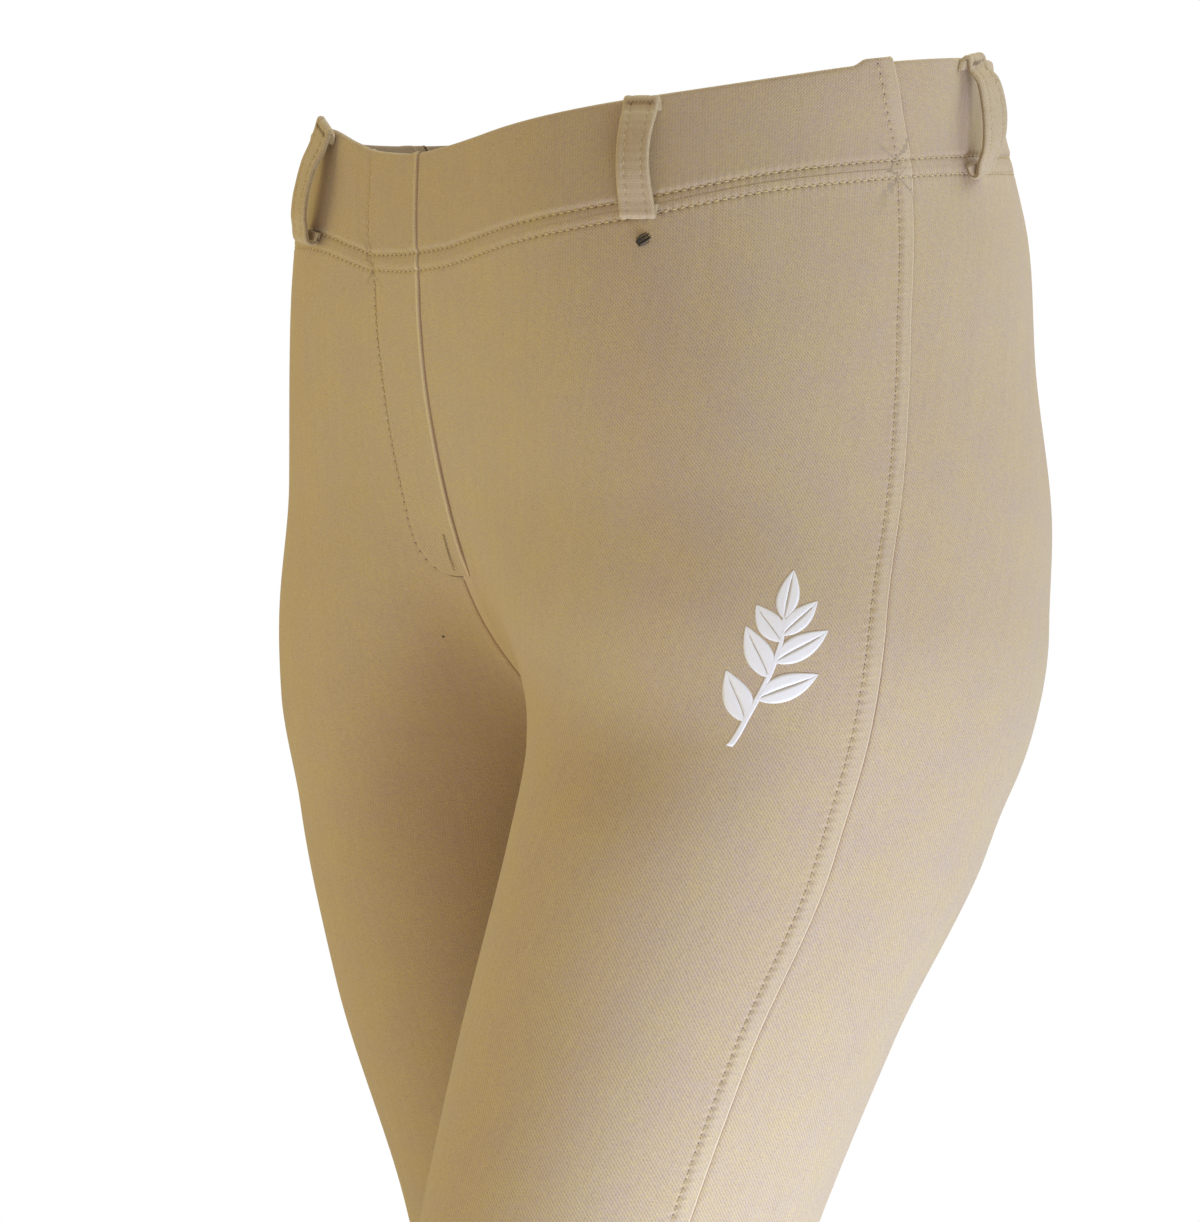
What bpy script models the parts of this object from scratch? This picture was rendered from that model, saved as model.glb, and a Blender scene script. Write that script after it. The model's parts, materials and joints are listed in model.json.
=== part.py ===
"""Jodhpurs: stretch-cloth riding trousers, filled out as worn and standing in a short stride.

Frame: metres, +Z up, the front toward -Y and the wearer's left toward +X. The origin is the middle
of the waist, level with the waistband at its sides, where the wearer's waist holds the garment.
Every size in this file is in millimetres, and METRES turns it into metres as a mesh is made.
"""
import math

import bmesh
import bpy
import numpy as np

METRES = 0.001

# Driving sizes of the cloth.
WALL = 1.4                 # the knit cloth
HEM_WALL = 2.8             # the same cloth turned up at the ankle
HEM_DEPTH = 20.0           # height of the turned-up hem
BAND_WALL = 3.0            # the waistband, cloth folded double
BAND_PROUD = 0.6           # how far the waistband stands out past the panels below it
PLACKET_WALL = 1.3         # the fly strip and the lap of the waistband
STRIP_SEAT = 0.55          # clear space under a strip that lies on another piece
SEAM_GAP = 0.3             # clear space between two pieces at a seam
ANKLE_HEIGHT = -960.0      # the two hems

# The fly strip lies on the right front from the centre front seam.
FLY_SHARE = 0.105          # its width, as a share of the panel from the centre front to the side seam
FLY_ROWS = (1.0, 1.0, 1.0, 1.0, 1.0, 0.94, 0.62)     # width left at each row, its lower end rounded in

# Belt loops.
LOOP_WIDTH = 12.5
LOOP_WALL = 2.0
LOOP_FOOT = 7.0            # sewn length at each end
LOOP_DOWN = 1.5            # how far a loop's upper end stays below the waistband's top edge
LOOP_SEAT = 0.55           # clear of the rounded band under a flat foot

# Sections of the filled-out garment. Each half is a round column about (cx, cy), and the two columns
# run into each other smoothly over the width "blend". "side", "inner", "front" and "back" are the
# column's reaches from that centre. cx is measured toward the outside on either half.
SECTION = ("z", "cx", "cy", "side", "inner", "front", "back", "blend")
TORSO = [
    (60, 40, -3, 102, 200, 105, 106, 12),
    (20, 45, 4, 92.5, 200, 108, 112, 12),            # waist
    (-30, 55, 8, 89.5, 190, 112.5, 119.5, 16),       # waistband seam
    (-80, 65, 6, 89.5, 170, 105, 121.5, 24),
    (-130, 72, 6, 92, 140, 96, 125.5, 30),
    (-175, 80, 3, 92, 100, 88.5, 122.5, 40),         # hip
    (-215, 86, 4.5, 84, 80, 86.5, 113, 44),
]
LEFT_LEG = [
    (-260, 84, 0, 78, 68.5, 89.5, 99.5, 30),
    (-330, 76.5, -19.5, 75.5, 69.5, 79, 85, 14),
    (-420, 70, -41, 68.5, 63.5, 71.5, 75.5, 8),
    (-560, 67, -74, 58, 54, 63, 62, 4),
    (-640, 66, -92, 54, 50, 58, 60, 4),              # knee
    (-740, 66, -96, 54, 50, 52, 62, 4),              # calf
    (-850, 64, -90, 44, 42, 44, 50, 4),
    (-960, 62, -82, 38, 36, 40, 44, 4),              # ankle
]
RIGHT_LEG = [
    (-260, 86, 13.5, 76.5, 67, 87, 97, 30),
    (-330, 80, 26, 74.5, 69, 82, 88, 14),
    (-420, 67, 52, 69, 64, 78.5, 82.5, 8),
    (-560, 64, 84, 58, 54, 64, 62, 4),
    (-640, 63, 99, 54, 50, 58, 60, 4),               # knee
    (-740, 63, 118, 54, 50, 52, 62, 4),              # calf
    (-850, 62, 136, 44, 42, 44, 50, 4),
    (-960, 61, 152, 38, 36, 40, 44, 4),              # ankle
]
ROUNDNESS = 2.1            # 2 is a true ellipse, more is squarer
AXIS_SHARE = 0.9           # the rays of a half start at this share of its cx

# The side seam, as an angle about the half's axis: 0 is straight out to the side, less is forward.
SIDE_SEAM = [
    ("z", "angle"),
    (60, -8), (24, -3), (10, 0), (-21, 5.2), (-75, 4), (-108, 1.3), (-155, -4),
    (-211, -8.5), (-279, -11.5), (-341, -14), (-420, -15), (-960, -12),
]

# Heights of the waistband seam and of its top edge, by degrees around the body from centre front.
WAIST = [
    ("turn", "seam_left", "top_left", "seam_right", "top_right"),
    (0, -50.8, -10.6, -50.8, -10.6),
    (12, -50.0, -9.0, -49.6, -7.5),
    (20, -48.0, -7.2, -45.3, -2.6),
    (30, -44.8, -4.2, -39.0, 4.6),
    (50, -36.5, 3.6, -33.5, 7.5),
    (72, -22.5, 14.0, -27.5, 12.0),
    (90, -13.6, 24.0, -20.5, 18.0),
    (110, -5.5, 33.0, -11.0, 27.0),
    (140, 3.0, 42.5, 0.0, 39.0),
    (180, 7.0, 47.0, 7.0, 47.0),
]

# Where each belt loop's foot and head are sewn, by degrees from centre front, how far its middle
# stands off, and how far its foot passes the waistband seam.
LOOPS = [
    ("name", "side", "foot_turn", "head_turn", "bow", "below"),
    ("front_left", 1, 52.0, 51.0, 7.0, 5.0),
    ("front_right", -1, 31.0, 28.0, 8.5, 0.5),
    ("back_left", 1, 108.0, 104.5, 8.5, 4.0),
    ("back_right", -1, 110.0, 107.0, 8.0, 4.0),
]

# Columns of each panel, as shares from its inner edge (0) to the side seam (1).
FRONT_SHARES = [0, FLY_SHARE / 2, FLY_SHARE, 0.2, 0.3, 0.4, 0.5, 0.6, 0.7, 0.8, 0.9, 1.0]
BACK_SHARES = [i / 10 for i in range(11)]
BODY_ROWS = 14             # from the waistband seam to the crotch
LEG_ROWS = 19              # from the crotch to the hem
BAND_ROWS = 2
FRONT, BACK = -1, 1        # the faces of a half
LEFT_SIDE, RIGHT_SIDE = 1, -1


class Table:
    """Smooth curves through the rows of a table, with no overshoot, read at the first column."""

    def __init__(self, rows):
        rows = np.array(sorted(rows), float)
        self.x, self.y = rows[:, 0], rows[:, 1:]
        step = np.diff(self.x)[:, None]
        rise = np.diff(self.y, axis=0) / step
        near = 2 * step[1:] + step[:-1]
        far = step[1:] + 2 * step[:-1]
        product = rise[:-1] * rise[1:]
        turning = product <= 0
        mean = (near + far) * product / (near * rise[1:] + far * rise[:-1] + turning)
        self.slope = np.vstack([rise[:1], np.where(turning, 0, mean), rise[-1:]])

    def __call__(self, x):
        x = np.clip(np.asarray(x, float), self.x[0], self.x[-1])
        i = np.clip(np.searchsorted(self.x, x) - 1, 0, len(self.x) - 2)
        width = (self.x[i + 1] - self.x[i])[..., None]
        t = (x - self.x[i])[..., None] / width
        ends = (1 + 2 * t) * (1 - t) ** 2 * self.y[i] + t * t * (3 - 2 * t) * self.y[i + 1]
        bends = t * (1 - t) ** 2 * self.slope[i] + t * t * (t - 1) * self.slope[i + 1]
        return ends + width * bends


HALVES = {LEFT_SIDE: Table(TORSO + LEFT_LEG), RIGHT_SIDE: Table(TORSO + RIGHT_LEG)}
SEAM_ANGLE = Table(SIDE_SEAM[1:])
WAIST_HEIGHT = Table(WAIST[1:])


def column_distance(section, x, y):
    """How far a point lies outside a half's section, along the ray from its centre."""
    cx, cy, side, inner, front, back = (section[..., i] for i in range(6))
    dx, dy = x - cx, y - cy
    across = np.abs(dx / np.where(dx > 0, side, inner)) + 1e-9
    along = np.abs(dy / np.where(dy > 0, back, front)) + 1e-9
    reach = (across ** ROUNDNESS + along ** ROUNDNESS) ** (1 / ROUNDNESS)
    return np.hypot(dx, dy) * (1 - 1 / reach)


def outside(x, y, z):
    """Signed distance from the garment's outer face, the two halves run together smoothly."""
    left, right = HALVES[LEFT_SIDE](z), HALVES[RIGHT_SIDE](z)
    a, b = column_distance(left, x, y), column_distance(right, -x, y)
    blend = (left[..., 6] + right[..., 6]) / 2
    overlap = np.maximum(blend - np.abs(a - b), 0) / blend
    return np.minimum(a, b) - overlap * overlap * blend / 4


def root(inside, beyond, value):
    """Bisection for the zero of value between two arrays of parameters."""
    low, high = np.array(inside, float), np.array(beyond, float)
    for _ in range(44):
        middle = (low + high) / 2
        within = value(middle) < 0
        low, high = np.where(within, middle, low), np.where(within, high, middle)
    return (low + high) / 2


def find_crotch():
    """The lowest point of the centre seam: its y and its height."""
    ys = np.linspace(-40, 60, 401)
    z = root(-120.0, -320.0, lambda h: np.min(outside(0 * ys, ys, h + 0 * ys)))
    return float(ys[np.argmin(outside(0 * ys, ys, z + 0 * ys))]), float(z)


CROTCH_Y, CROTCH_Z = find_crotch()


def centre_y(face, z):
    """Where the centre front or centre back seam lies at a height above the crotch."""
    z = np.maximum(z, CROTCH_Z)
    reach = root(0 * z, 0 * z + 170, lambda r: outside(0 * z, CROTCH_Y + face * r, z))
    return CROTCH_Y + face * reach


def axis(side, z):
    section = HALVES[side](z)
    return AXIS_SHARE * section[..., 0], section[..., 1]


def inner_angle(side, face, z):
    """Angle of a panel's inner edge: the centre seam, and below the crotch the inseam."""
    ax, ay = axis(side, z)
    seam_y = centre_y(face, z)
    centre = np.degrees(np.arctan2(face * (seam_y - ay), -ax))
    crotch_x, crotch_y = axis(side, CROTCH_Z)
    at_crotch = math.degrees(math.atan2(CROTCH_Y - crotch_y, -crotch_x)) % 360
    fade = np.clip(1 - (CROTCH_Z - z) / 60, 0, 1) ** 2
    inseam = 180 + (at_crotch - 180) * fade
    inseam = inseam if face == BACK else 360 - inseam
    return face * np.where(z > CROTCH_Z, centre % 360, inseam)


def surface(side, z, angle):
    """The outer face where a ray from the half's axis leaves the garment."""
    ax, ay = axis(side, z)
    dx, dy = np.cos(np.radians(angle)), np.sin(np.radians(angle))
    to_middle = np.where(dx < -0.05, ax / np.maximum(-dx, 0.05), 200)
    reach = root(0 * z + 5, np.minimum(to_middle, 200), lambda r: outside(side * (ax + r * dx), ay + r * dy, z))
    return np.stack([side * (ax + reach * dx), ay + reach * dy, z], axis=-1)


def unit(vectors):
    return vectors / np.linalg.norm(vectors, axis=-1, keepdims=True)


def normals(points):
    x, y, z = points[..., 0], points[..., 1], points[..., 2]
    h = 0.1
    slope = np.stack([outside(x + h, y, z) - outside(x - h, y, z),
                      outside(x, y + h, z) - outside(x, y - h, z),
                      outside(x, y, z + h) - outside(x, y, z - h)], axis=-1)
    return unit(slope)


def on_panel(side, face, shares, z):
    """Points of a panel at shares of its width and at heights, its inner edge on the centre seam."""
    start = inner_angle(side, face, z)
    end = SEAM_ANGLE(z)[..., 0]
    points = surface(side, z, start + (end - start) * shares)
    on_centre = (shares == 0) & (z >= CROTCH_Z)
    points[..., 0] = np.where(on_centre, 0, points[..., 0])
    points[..., 1] = np.where(on_centre, centre_y(face, z), points[..., 1])
    return points


def body_turn(points):
    """Degrees around the body from the centre front."""
    body_y = HALVES[LEFT_SIDE](points[..., 2])[..., 1]
    return np.degrees(np.arctan2(np.abs(points[..., 0]), body_y - points[..., 1]))


def band_height(side, turn, rise):
    """Height in the waistband: rise 0 at its seam and 1 at its top edge."""
    first = 0 if side == LEFT_SIDE else 2
    heights = WAIST_HEIGHT(turn)
    return heights[..., first] * (1 - rise) + heights[..., first + 1] * rise


def band_line(side, face, shares, rise):
    """One line of points around a panel's share of the waistband."""
    z = np.full(len(shares), -20.0)
    for _ in range(12):
        z = band_height(side, body_turn(on_panel(side, face, shares, z)), rise)
    return on_panel(side, face, shares, z)


def panel_grid(side, face, shares):
    """Rows of points from the waistband seam to the hem, close together around the crotch."""
    top = band_line(side, face, shares, 0.0)
    rows = []
    for i in range(BODY_ROWS):
        t = 1 - i / BODY_ROWS
        inner = CROTCH_Z + (top[0, 2] - CROTCH_Z) * t ** 1.8
        outer = CROTCH_Z + (top[-1, 2] - CROTCH_Z) * t ** 1.1
        straight = top[0, 2] + (top[-1, 2] - top[0, 2]) * shares ** 1.5
        dip = (top[:, 2] - straight) * max(0, 1 - i / (0.6 * BODY_ROWS)) ** 2
        rows.append(inner + (outer - inner) * shares ** 1.5 + dip)
    leg = CROTCH_Z - (ANKLE_HEIGHT + HEM_DEPTH)
    for i in range(LEG_ROWS + 1):
        u = i / LEG_ROWS
        rows.append(0 * shares + CROTCH_Z - leg * 1.15 * u * u / (u + 0.15))
    rows.append(0 * shares + ANKLE_HEIGHT + HEM_DEPTH - 1)
    rows.append(0 * shares + ANKLE_HEIGHT)
    z = np.array(rows)
    points = on_panel(side, face, np.broadcast_to(shares, z.shape), z)
    points[0] = top
    return points


def drawn_back(edge, beside):
    """A line of points moved toward the next line, until it is half a seam gap from where it was."""
    step, run = unit(beside - edge), unit(np.gradient(edge, axis=0))
    square = np.linalg.norm(np.cross(step, run), axis=-1, keepdims=True)
    return edge + step * SEAM_GAP / 2 / np.maximum(square, 0.4)


def trimmed(points, last_row=True, last_column=True):
    """A grid drawn back from the edges that meet another piece."""
    points = points.copy()
    points[:, 0] = drawn_back(points[:, 0], points[:, 1])
    points[0] = drawn_back(points[0], points[1])
    if last_column:
        points[:, -1] = drawn_back(points[:, -1], points[:, -2])
    if last_row:
        points[-1] = drawn_back(points[-1], points[-2])
    return points


def material(name, colour, roughness):
    made = bpy.data.materials.new(name)
    made.use_nodes = True
    shader = made.node_tree.nodes["Principled BSDF"]
    shader.inputs["Base Color"].default_value = (*colour, 1)
    shader.inputs["Roughness"].default_value = roughness
    shader.inputs["Metallic"].default_value = 0
    return made


def add_object(name, mesh_data, cloth):
    bmesh.ops.recalc_face_normals(mesh_data, faces=mesh_data.faces)
    mesh = bpy.data.meshes.new(name)
    mesh_data.to_mesh(mesh)
    mesh_data.free()
    mesh.shade_smooth()
    mesh.set_sharp_from_angle(angle=math.radians(40))
    mesh.materials.append(cloth)
    made = bpy.data.objects.new(name, mesh)
    bpy.context.scene.collection.objects.link(made)
    return made


def add_wall(name, outer, inner, cloth):
    """A closed wall of cloth between two grids of points, with its four edges."""
    rows, columns = outer.shape[:2]
    data = bmesh.new()
    out, into = ([[data.verts.new(p * METRES) for p in row] for row in grid] for grid in (outer, inner))
    for i in range(rows - 1):
        for j in range(columns - 1):
            for grid in (out, into):
                data.faces.new((grid[i][j], grid[i + 1][j], grid[i + 1][j + 1], grid[i][j + 1]))
    rim = [(0, j) for j in range(columns)] + [(i, columns - 1) for i in range(1, rows)]
    rim += [(rows - 1, j) for j in range(columns - 2, -1, -1)] + [(i, 0) for i in range(rows - 2, 0, -1)]
    for (i, j), (k, m) in zip(rim, rim[1:] + rim[:1]):
        data.faces.new((out[i][j], out[k][m], into[k][m], into[i][j]))
    return add_object(name, data, cloth)


def add_panel(name, side, face, shares, cloth):
    points = panel_grid(side, face, shares)
    away = normals(points)
    outer = trimmed(points, last_row=False)
    wall = np.full(points.shape[:2], WALL)
    wall[-2:] = HEM_WALL
    add_wall(name, outer, outer - away * wall[..., None], cloth)
    return points, away


def band_grid(side, face, shares):
    return np.array([band_line(side, face, shares, i / BAND_ROWS) for i in range(BAND_ROWS + 1)])


def add_band(name, points, cloth):
    away = normals(points)
    outer = trimmed(points, last_row=False) + away * BAND_PROUD
    add_wall(name, outer, outer - away * BAND_WALL, cloth)


def add_strip(name, points, away, lift, cloth):
    """A strip on another piece, made from that piece's own points and moved out from it."""
    seat = points + away * (lift + STRIP_SEAT)
    add_wall(name, seat + away * PLACKET_WALL, seat, cloth)


def along_row(row, share, shares):
    """The point at a share of a row of points, on the straight lines between them."""
    return np.array([np.interp(share, shares, row[:, i]) for i in range(3)])


def fly_points(points, away):
    """The fly strip's points and normals, from the first columns of the right front."""
    shares = np.array(FRONT_SHARES)
    lines = []
    for grid in (points, away):
        line = [[along_row(grid[i], width * share, shares) for share in shares[:3]]
                for i, width in enumerate(FLY_ROWS)]
        lines.append(np.array(line))
    return trimmed(lines[0], last_row=False, last_column=False), lines[1]


def loop_profile(length, bow):
    """A belt loop's section: feet flat on the band and the middle bowed off, as (along, off) points."""
    outer, inner = [], []
    steps = 12
    for i in range(steps + 1):
        t = i / steps
        along = LOOP_FOOT + (length - 2 * LOOP_FOOT) * t
        off = bow * math.sin(math.pi * t) ** 0.8 if 0 < t < 1 else 0.0
        inner.append((along, off))
        outer.append((along, off + LOOP_WALL))
    inner = [(0.0, 0.0)] + inner + [(length, 0.0)]
    outer = [(0.0, LOOP_WALL)] + outer + [(length, LOOP_WALL)]
    return inner + outer[::-1]


def body_point(side, turn, z):
    """The outer face at degrees around the body from the centre front."""
    middle = float(HALVES[LEFT_SIDE](z)[1])
    dx, dy = side * math.sin(math.radians(turn)), -math.cos(math.radians(turn))
    reach = float(root(20.0, 250.0, lambda r: outside(r * dx, middle + r * dy, z)))
    return np.array([reach * dx, middle + reach * dy, z])


def add_loop(name, side, foot_turn, head_turn, bow, below, cloth):
    foot = body_point(side, foot_turn, float(band_height(side, foot_turn, 0.0)) - below)
    head = body_point(side, head_turn, float(band_height(side, head_turn, 1.0)) - LOOP_DOWN)
    up = unit(head - foot)
    away = normals((foot + head) / 2)
    away = unit(away - up * np.dot(away, up))
    sideways = np.cross(up, away)
    seat = BAND_PROUD + LOOP_SEAT
    profile = loop_profile(float(np.linalg.norm(head - foot)), bow)
    data = bmesh.new()
    ends = []
    for across in (-LOOP_WIDTH / 2, LOOP_WIDTH / 2):
        ring = [foot + up * along + away * (seat + off) + sideways * across for along, off in profile]
        ends.append([data.verts.new(p * METRES) for p in ring])
    count = len(profile)
    for i in range(count):
        k = (i + 1) % count
        data.faces.new((ends[0][i], ends[0][k], ends[1][k], ends[1][i]))
    half = count // 2
    for ring in ends:
        for i in range(half - 1):
            data.faces.new((ring[i], ring[i + 1], ring[count - 2 - i], ring[count - 1 - i]))
    add_object(name, data, cloth)


def build():
    for old in list(bpy.data.objects):
        bpy.data.objects.remove(old, do_unlink=True)
    cloth = material("knit_cloth", (0.46, 0.36, 0.24), 0.9)
    band_cloth = material("waistband_cloth", (0.43, 0.34, 0.225), 0.9)
    loop_cloth = material("belt_loop_cloth", (0.45, 0.37, 0.26), 0.9)
    fronts, backs = np.array(FRONT_SHARES), np.array(BACK_SHARES)

    for side, name in ((LEFT_SIDE, "left"), (RIGHT_SIDE, "right")):
        add_panel(f"back_{name}", side, BACK, backs, cloth)
        points, away = add_panel(f"front_{name}", side, FRONT, fronts, cloth)
        add_band(f"waistband_front_{name}", band_grid(side, FRONT, fronts), band_cloth)

    fly, fly_away = fly_points(points, away)
    add_strip("fly_placket", fly, fly_away, 0.0, cloth)
    lap = band_grid(RIGHT_SIDE, FRONT, fronts)[:, :3]
    add_strip("waistband_lap", trimmed(lap, last_row=False, last_column=False), normals(lap),
              BAND_PROUD, band_cloth)

    left, right = (band_grid(side, BACK, backs) for side in (LEFT_SIDE, RIGHT_SIDE))
    add_band("waistband_back", np.concatenate([left[:, ::-1], right[:, 1:]], axis=1), band_cloth)

    for name, *sewn in LOOPS[1:]:
        add_loop(f"belt_loop_{name}", *sewn, loop_cloth)


build()
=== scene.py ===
# Jodhpurs: riding trousers in fine beige stretch knit, filled out as worn, in a short stride.
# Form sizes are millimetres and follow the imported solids; metres come in where a mesh is made.
import json
import math

import bpy
import numpy as np
from mathutils import Matrix, Vector

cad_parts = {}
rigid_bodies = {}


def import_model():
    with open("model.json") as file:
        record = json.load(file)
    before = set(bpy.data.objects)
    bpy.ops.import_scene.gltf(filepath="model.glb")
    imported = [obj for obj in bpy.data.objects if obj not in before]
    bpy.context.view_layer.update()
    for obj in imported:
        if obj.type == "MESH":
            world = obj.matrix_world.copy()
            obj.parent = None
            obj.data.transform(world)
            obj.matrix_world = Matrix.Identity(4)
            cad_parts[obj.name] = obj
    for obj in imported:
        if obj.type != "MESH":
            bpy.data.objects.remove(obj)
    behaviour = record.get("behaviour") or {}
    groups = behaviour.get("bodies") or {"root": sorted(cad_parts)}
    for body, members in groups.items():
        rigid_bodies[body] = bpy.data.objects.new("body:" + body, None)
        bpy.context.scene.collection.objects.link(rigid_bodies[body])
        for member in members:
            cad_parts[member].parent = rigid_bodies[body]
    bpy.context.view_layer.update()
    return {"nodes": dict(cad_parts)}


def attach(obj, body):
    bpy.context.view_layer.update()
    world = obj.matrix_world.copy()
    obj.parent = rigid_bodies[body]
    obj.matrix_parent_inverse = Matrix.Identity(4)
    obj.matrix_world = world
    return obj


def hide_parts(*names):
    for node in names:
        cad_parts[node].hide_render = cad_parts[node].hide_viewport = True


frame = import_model()
print("frame loaded:", len(frame["nodes"]), "nodes")

metres = 0.001
frontFace, backFace = -1, 1
leftSide, rightSide = 1, -1
sideWords = {leftSide: "left", rightSide: "right"}
random = np.random.default_rng(7)

# the cloth as the solids have it, and how fine the visible mesh is
form = {
    "wall": 1.4,
    "hemWall": 2.8,
    "hemDepth": 20.0,
    "bandWall": 3.0,
    "bandProud": 0.6,
    "seamGap": 0.03,         # only a hairline here, where the solids stand 0.3 mm apart
    "ankleHeight": -960.0,
    "roundness": 2.1,
    "axisShare": 0.9,
    "bodyRows": 48,
    "columnStep": 3.4,
    "rowStep": 4.6,
    "bandStep": 1.35,
    "bandRowStep": 2.2,
    "grain": 8.0,
}

# sections of each half: z, middle x and y, reaches to side, inner, front and back, and the halves' blend
torso = [
    (60, 40, -3, 102, 200, 105, 106, 12),
    (20, 45, 4, 93.5, 200, 108, 112, 12),            # waist
    (-30, 55, 8, 92.5, 190, 112.5, 119.5, 16),       # waistband seam
    (-80, 65, 6, 89.5, 170, 105, 121.5, 24),
    (-130, 72, 6, 92, 140, 96, 125.5, 30),
    (-175, 80, 3, 92, 100, 88.5, 122.5, 40),         # hip
    (-215, 86, 4.5, 84, 80, 85.5, 112, 44),
]
leftLeg = [
    (-260, 84, 0, 78, 68.5, 89.5, 99.5, 30),
    (-330, 76.5, -19.5, 74.5, 69.5, 79, 84, 14),
    (-420, 70, -41, 66.0, 63.5, 71.5, 72.5, 8),
    (-560, 67, -74, 58, 54, 63, 62, 4),
    (-640, 66, -92, 54, 50, 58, 60, 4),              # knee
    (-740, 66, -96, 54, 50, 52, 62, 4),              # calf
    (-850, 64, -90, 44, 42, 44, 50, 4),
    (-960, 62, -82, 38, 36, 40, 44, 4),              # ankle
]
rightLeg = [
    (-260, 86, 13.5, 76.0, 67, 85, 97, 30),
    (-330, 80, 26, 73.5, 69, 80, 88, 14),
    (-420, 67, 52, 68, 64, 76.5, 82.5, 8),
    (-560, 64, 84, 58, 54, 64, 62, 4),
    (-640, 63, 99, 54, 50, 58, 60, 4),               # knee
    (-740, 63, 118, 54, 50, 52, 62, 4),              # calf
    (-850, 62, 136, 44, 42, 44, 50, 4),
    (-960, 61, 152, 38, 36, 40, 44, 4),              # ankle
]
# z, angle about the half's axis
sideSeam = [
    (60, -9), (24, -4), (10, -1.0), (-21, 4.8), (-75, 3.5), (-108, 0.9), (-155, -3.8),
    (-211, -8.0), (-279, -11.3), (-341, -14.2), (-420, -15.5), (-960, -12),
]
# turn about the body, seam and top on the left, seam and top on the right
waist = [
    (0, -50.8, -10.6, -50.8, -10.6),
    (12, -50.0, -9.0, -49.6, -7.5),
    (20, -48.0, -7.2, -45.3, -2.6),
    (30, -44.8, -4.2, -39.0, 4.6),
    (50, -36.5, 3.6, -33.5, 7.5),
    (72, -22.5, 14.0, -27.5, 12.0),
    (90, -13.6, 24.0, -20.5, 18.0),
    (110, -5.5, 33.0, -11.0, 27.0),
    (140, 3.0, 42.5, 0.0, 39.0),
    (180, 7.0, 47.0, 7.0, 47.0),
]


# ---- form: the same surface as the solids, read as finely as a mesh needs

class Curve:
    # smooth curves through the rows of a table, with no overshoot, read at the first column
    def __init__(self, rows):
        rows = np.array(sorted(map(tuple, rows)), float)
        self.x, self.y = rows[:, 0], rows[:, 1:]
        step = np.diff(self.x)[:, None]
        rise = np.diff(self.y, axis=0) / step
        near = 2 * step[1:] + step[:-1]
        far = step[1:] + 2 * step[:-1]
        product = rise[:-1] * rise[1:]
        turning = product <= 0
        mean = (near + far) * product / (near * rise[1:] + far * rise[:-1] + turning)
        self.slope = np.vstack([rise[:1], np.where(turning, 0, mean), rise[-1:]])

    def __call__(self, x):
        x = np.clip(np.asarray(x, float), self.x[0], self.x[-1])
        i = np.clip(np.searchsorted(self.x, x) - 1, 0, len(self.x) - 2)
        width = (self.x[i + 1] - self.x[i])[..., None]
        t = (x - self.x[i])[..., None] / width
        ends = (1 + 2 * t) * (1 - t) ** 2 * self.y[i] + t * t * (3 - 2 * t) * self.y[i + 1]
        bends = t * (1 - t) ** 2 * self.slope[i] + t * t * (t - 1) * self.slope[i + 1]
        return ends + width * bends


halves = {leftSide: Curve(torso + leftLeg), rightSide: Curve(torso + rightLeg)}
seamAngle = Curve(sideSeam)
waistHeight = Curve(waist)


def sections(z):
    return halves[leftSide](z), halves[rightSide](z)


def columnDistance(section, x, y):
    # about how far a place is outside one half
    cx, cy, side, inner, front, back = (section[..., i] for i in range(6))
    dx, dy = x - cx, y - cy
    across = np.abs(dx / np.where(dx > 0, side, inner)) + 1e-9
    along = np.abs(dy / np.where(dy > 0, back, front)) + 1e-9
    n = form["roundness"]
    reach = (across ** n + along ** n) ** (1 / n)
    return np.hypot(dx, dy) * (1 - 1 / reach)


def outsideBy(x, y, left, right):
    # the nearer half counts, blended softly where the two meet
    a, b = columnDistance(left, x, y), columnDistance(right, -x, y)
    blend = (left[..., 6] + right[..., 6]) / 2
    overlap = np.maximum(blend - np.abs(a - b), 0) / blend
    return np.minimum(a, b) - overlap * overlap * blend / 4


def outside(x, y, z):
    # signed distance from the garment's outer face
    return outsideBy(x, y, *sections(z))


def root(inside, beyond, distance, steps=34):
    # where a distance turns from negative to positive
    low, high = np.array(inside, float), np.array(beyond, float)
    for _ in range(steps):
        middle = (low + high) / 2
        within = distance(middle) < 0
        low, high = np.where(within, middle, low), np.where(within, high, middle)
    return (low + high) / 2


def findCrotch():
    ys = np.linspace(-40, 60, 401)
    z = root(-120.0, -320.0, lambda h: np.min(outside(0 * ys, ys, h + 0 * ys)))
    return float(ys[np.argmin(outside(0 * ys, ys, z + 0 * ys))]), float(z)


crotchY, crotchZ = findCrotch()


def reachFrom(x, face, z):
    # how far the outer face lies ahead of the crotch, or behind it, at a distance from the middle
    left, right = sections(z)
    return root(0 * z, 0 * z + 170, lambda r: outsideBy(x, crotchY + face * r, left, right))


def centreY(face, z):
    z = np.maximum(z, crotchZ)
    return crotchY + face * reachFrom(0 * z, face, z)


def frontPoint(x, z):
    # the outer face straight ahead of a place near the centre front
    return np.stack([x, crotchY - reachFrom(x, frontFace, z), z], axis=-1)


def axisOf(side, z):
    section = halves[side](z)
    return form["axisShare"] * section[..., 0], section[..., 1]


def innerAngle(side, face, z):
    # the angle of the centre seam, and below the crotch that of the inner leg seam
    ax, ay = axisOf(side, z)
    centre = np.degrees(np.arctan2(face * (centreY(face, z) - ay), -ax))
    crotchAx, crotchAy = axisOf(side, crotchZ)
    atCrotch = math.degrees(math.atan2(crotchY - crotchAy, -crotchAx)) % 360
    fade = np.clip(1 - (crotchZ - z) / 60, 0, 1) ** 2
    inseam = 180 + (atCrotch - 180) * fade
    inseam = inseam if face == backFace else 360 - inseam
    return face * np.where(z > crotchZ, centre % 360, inseam)


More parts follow.
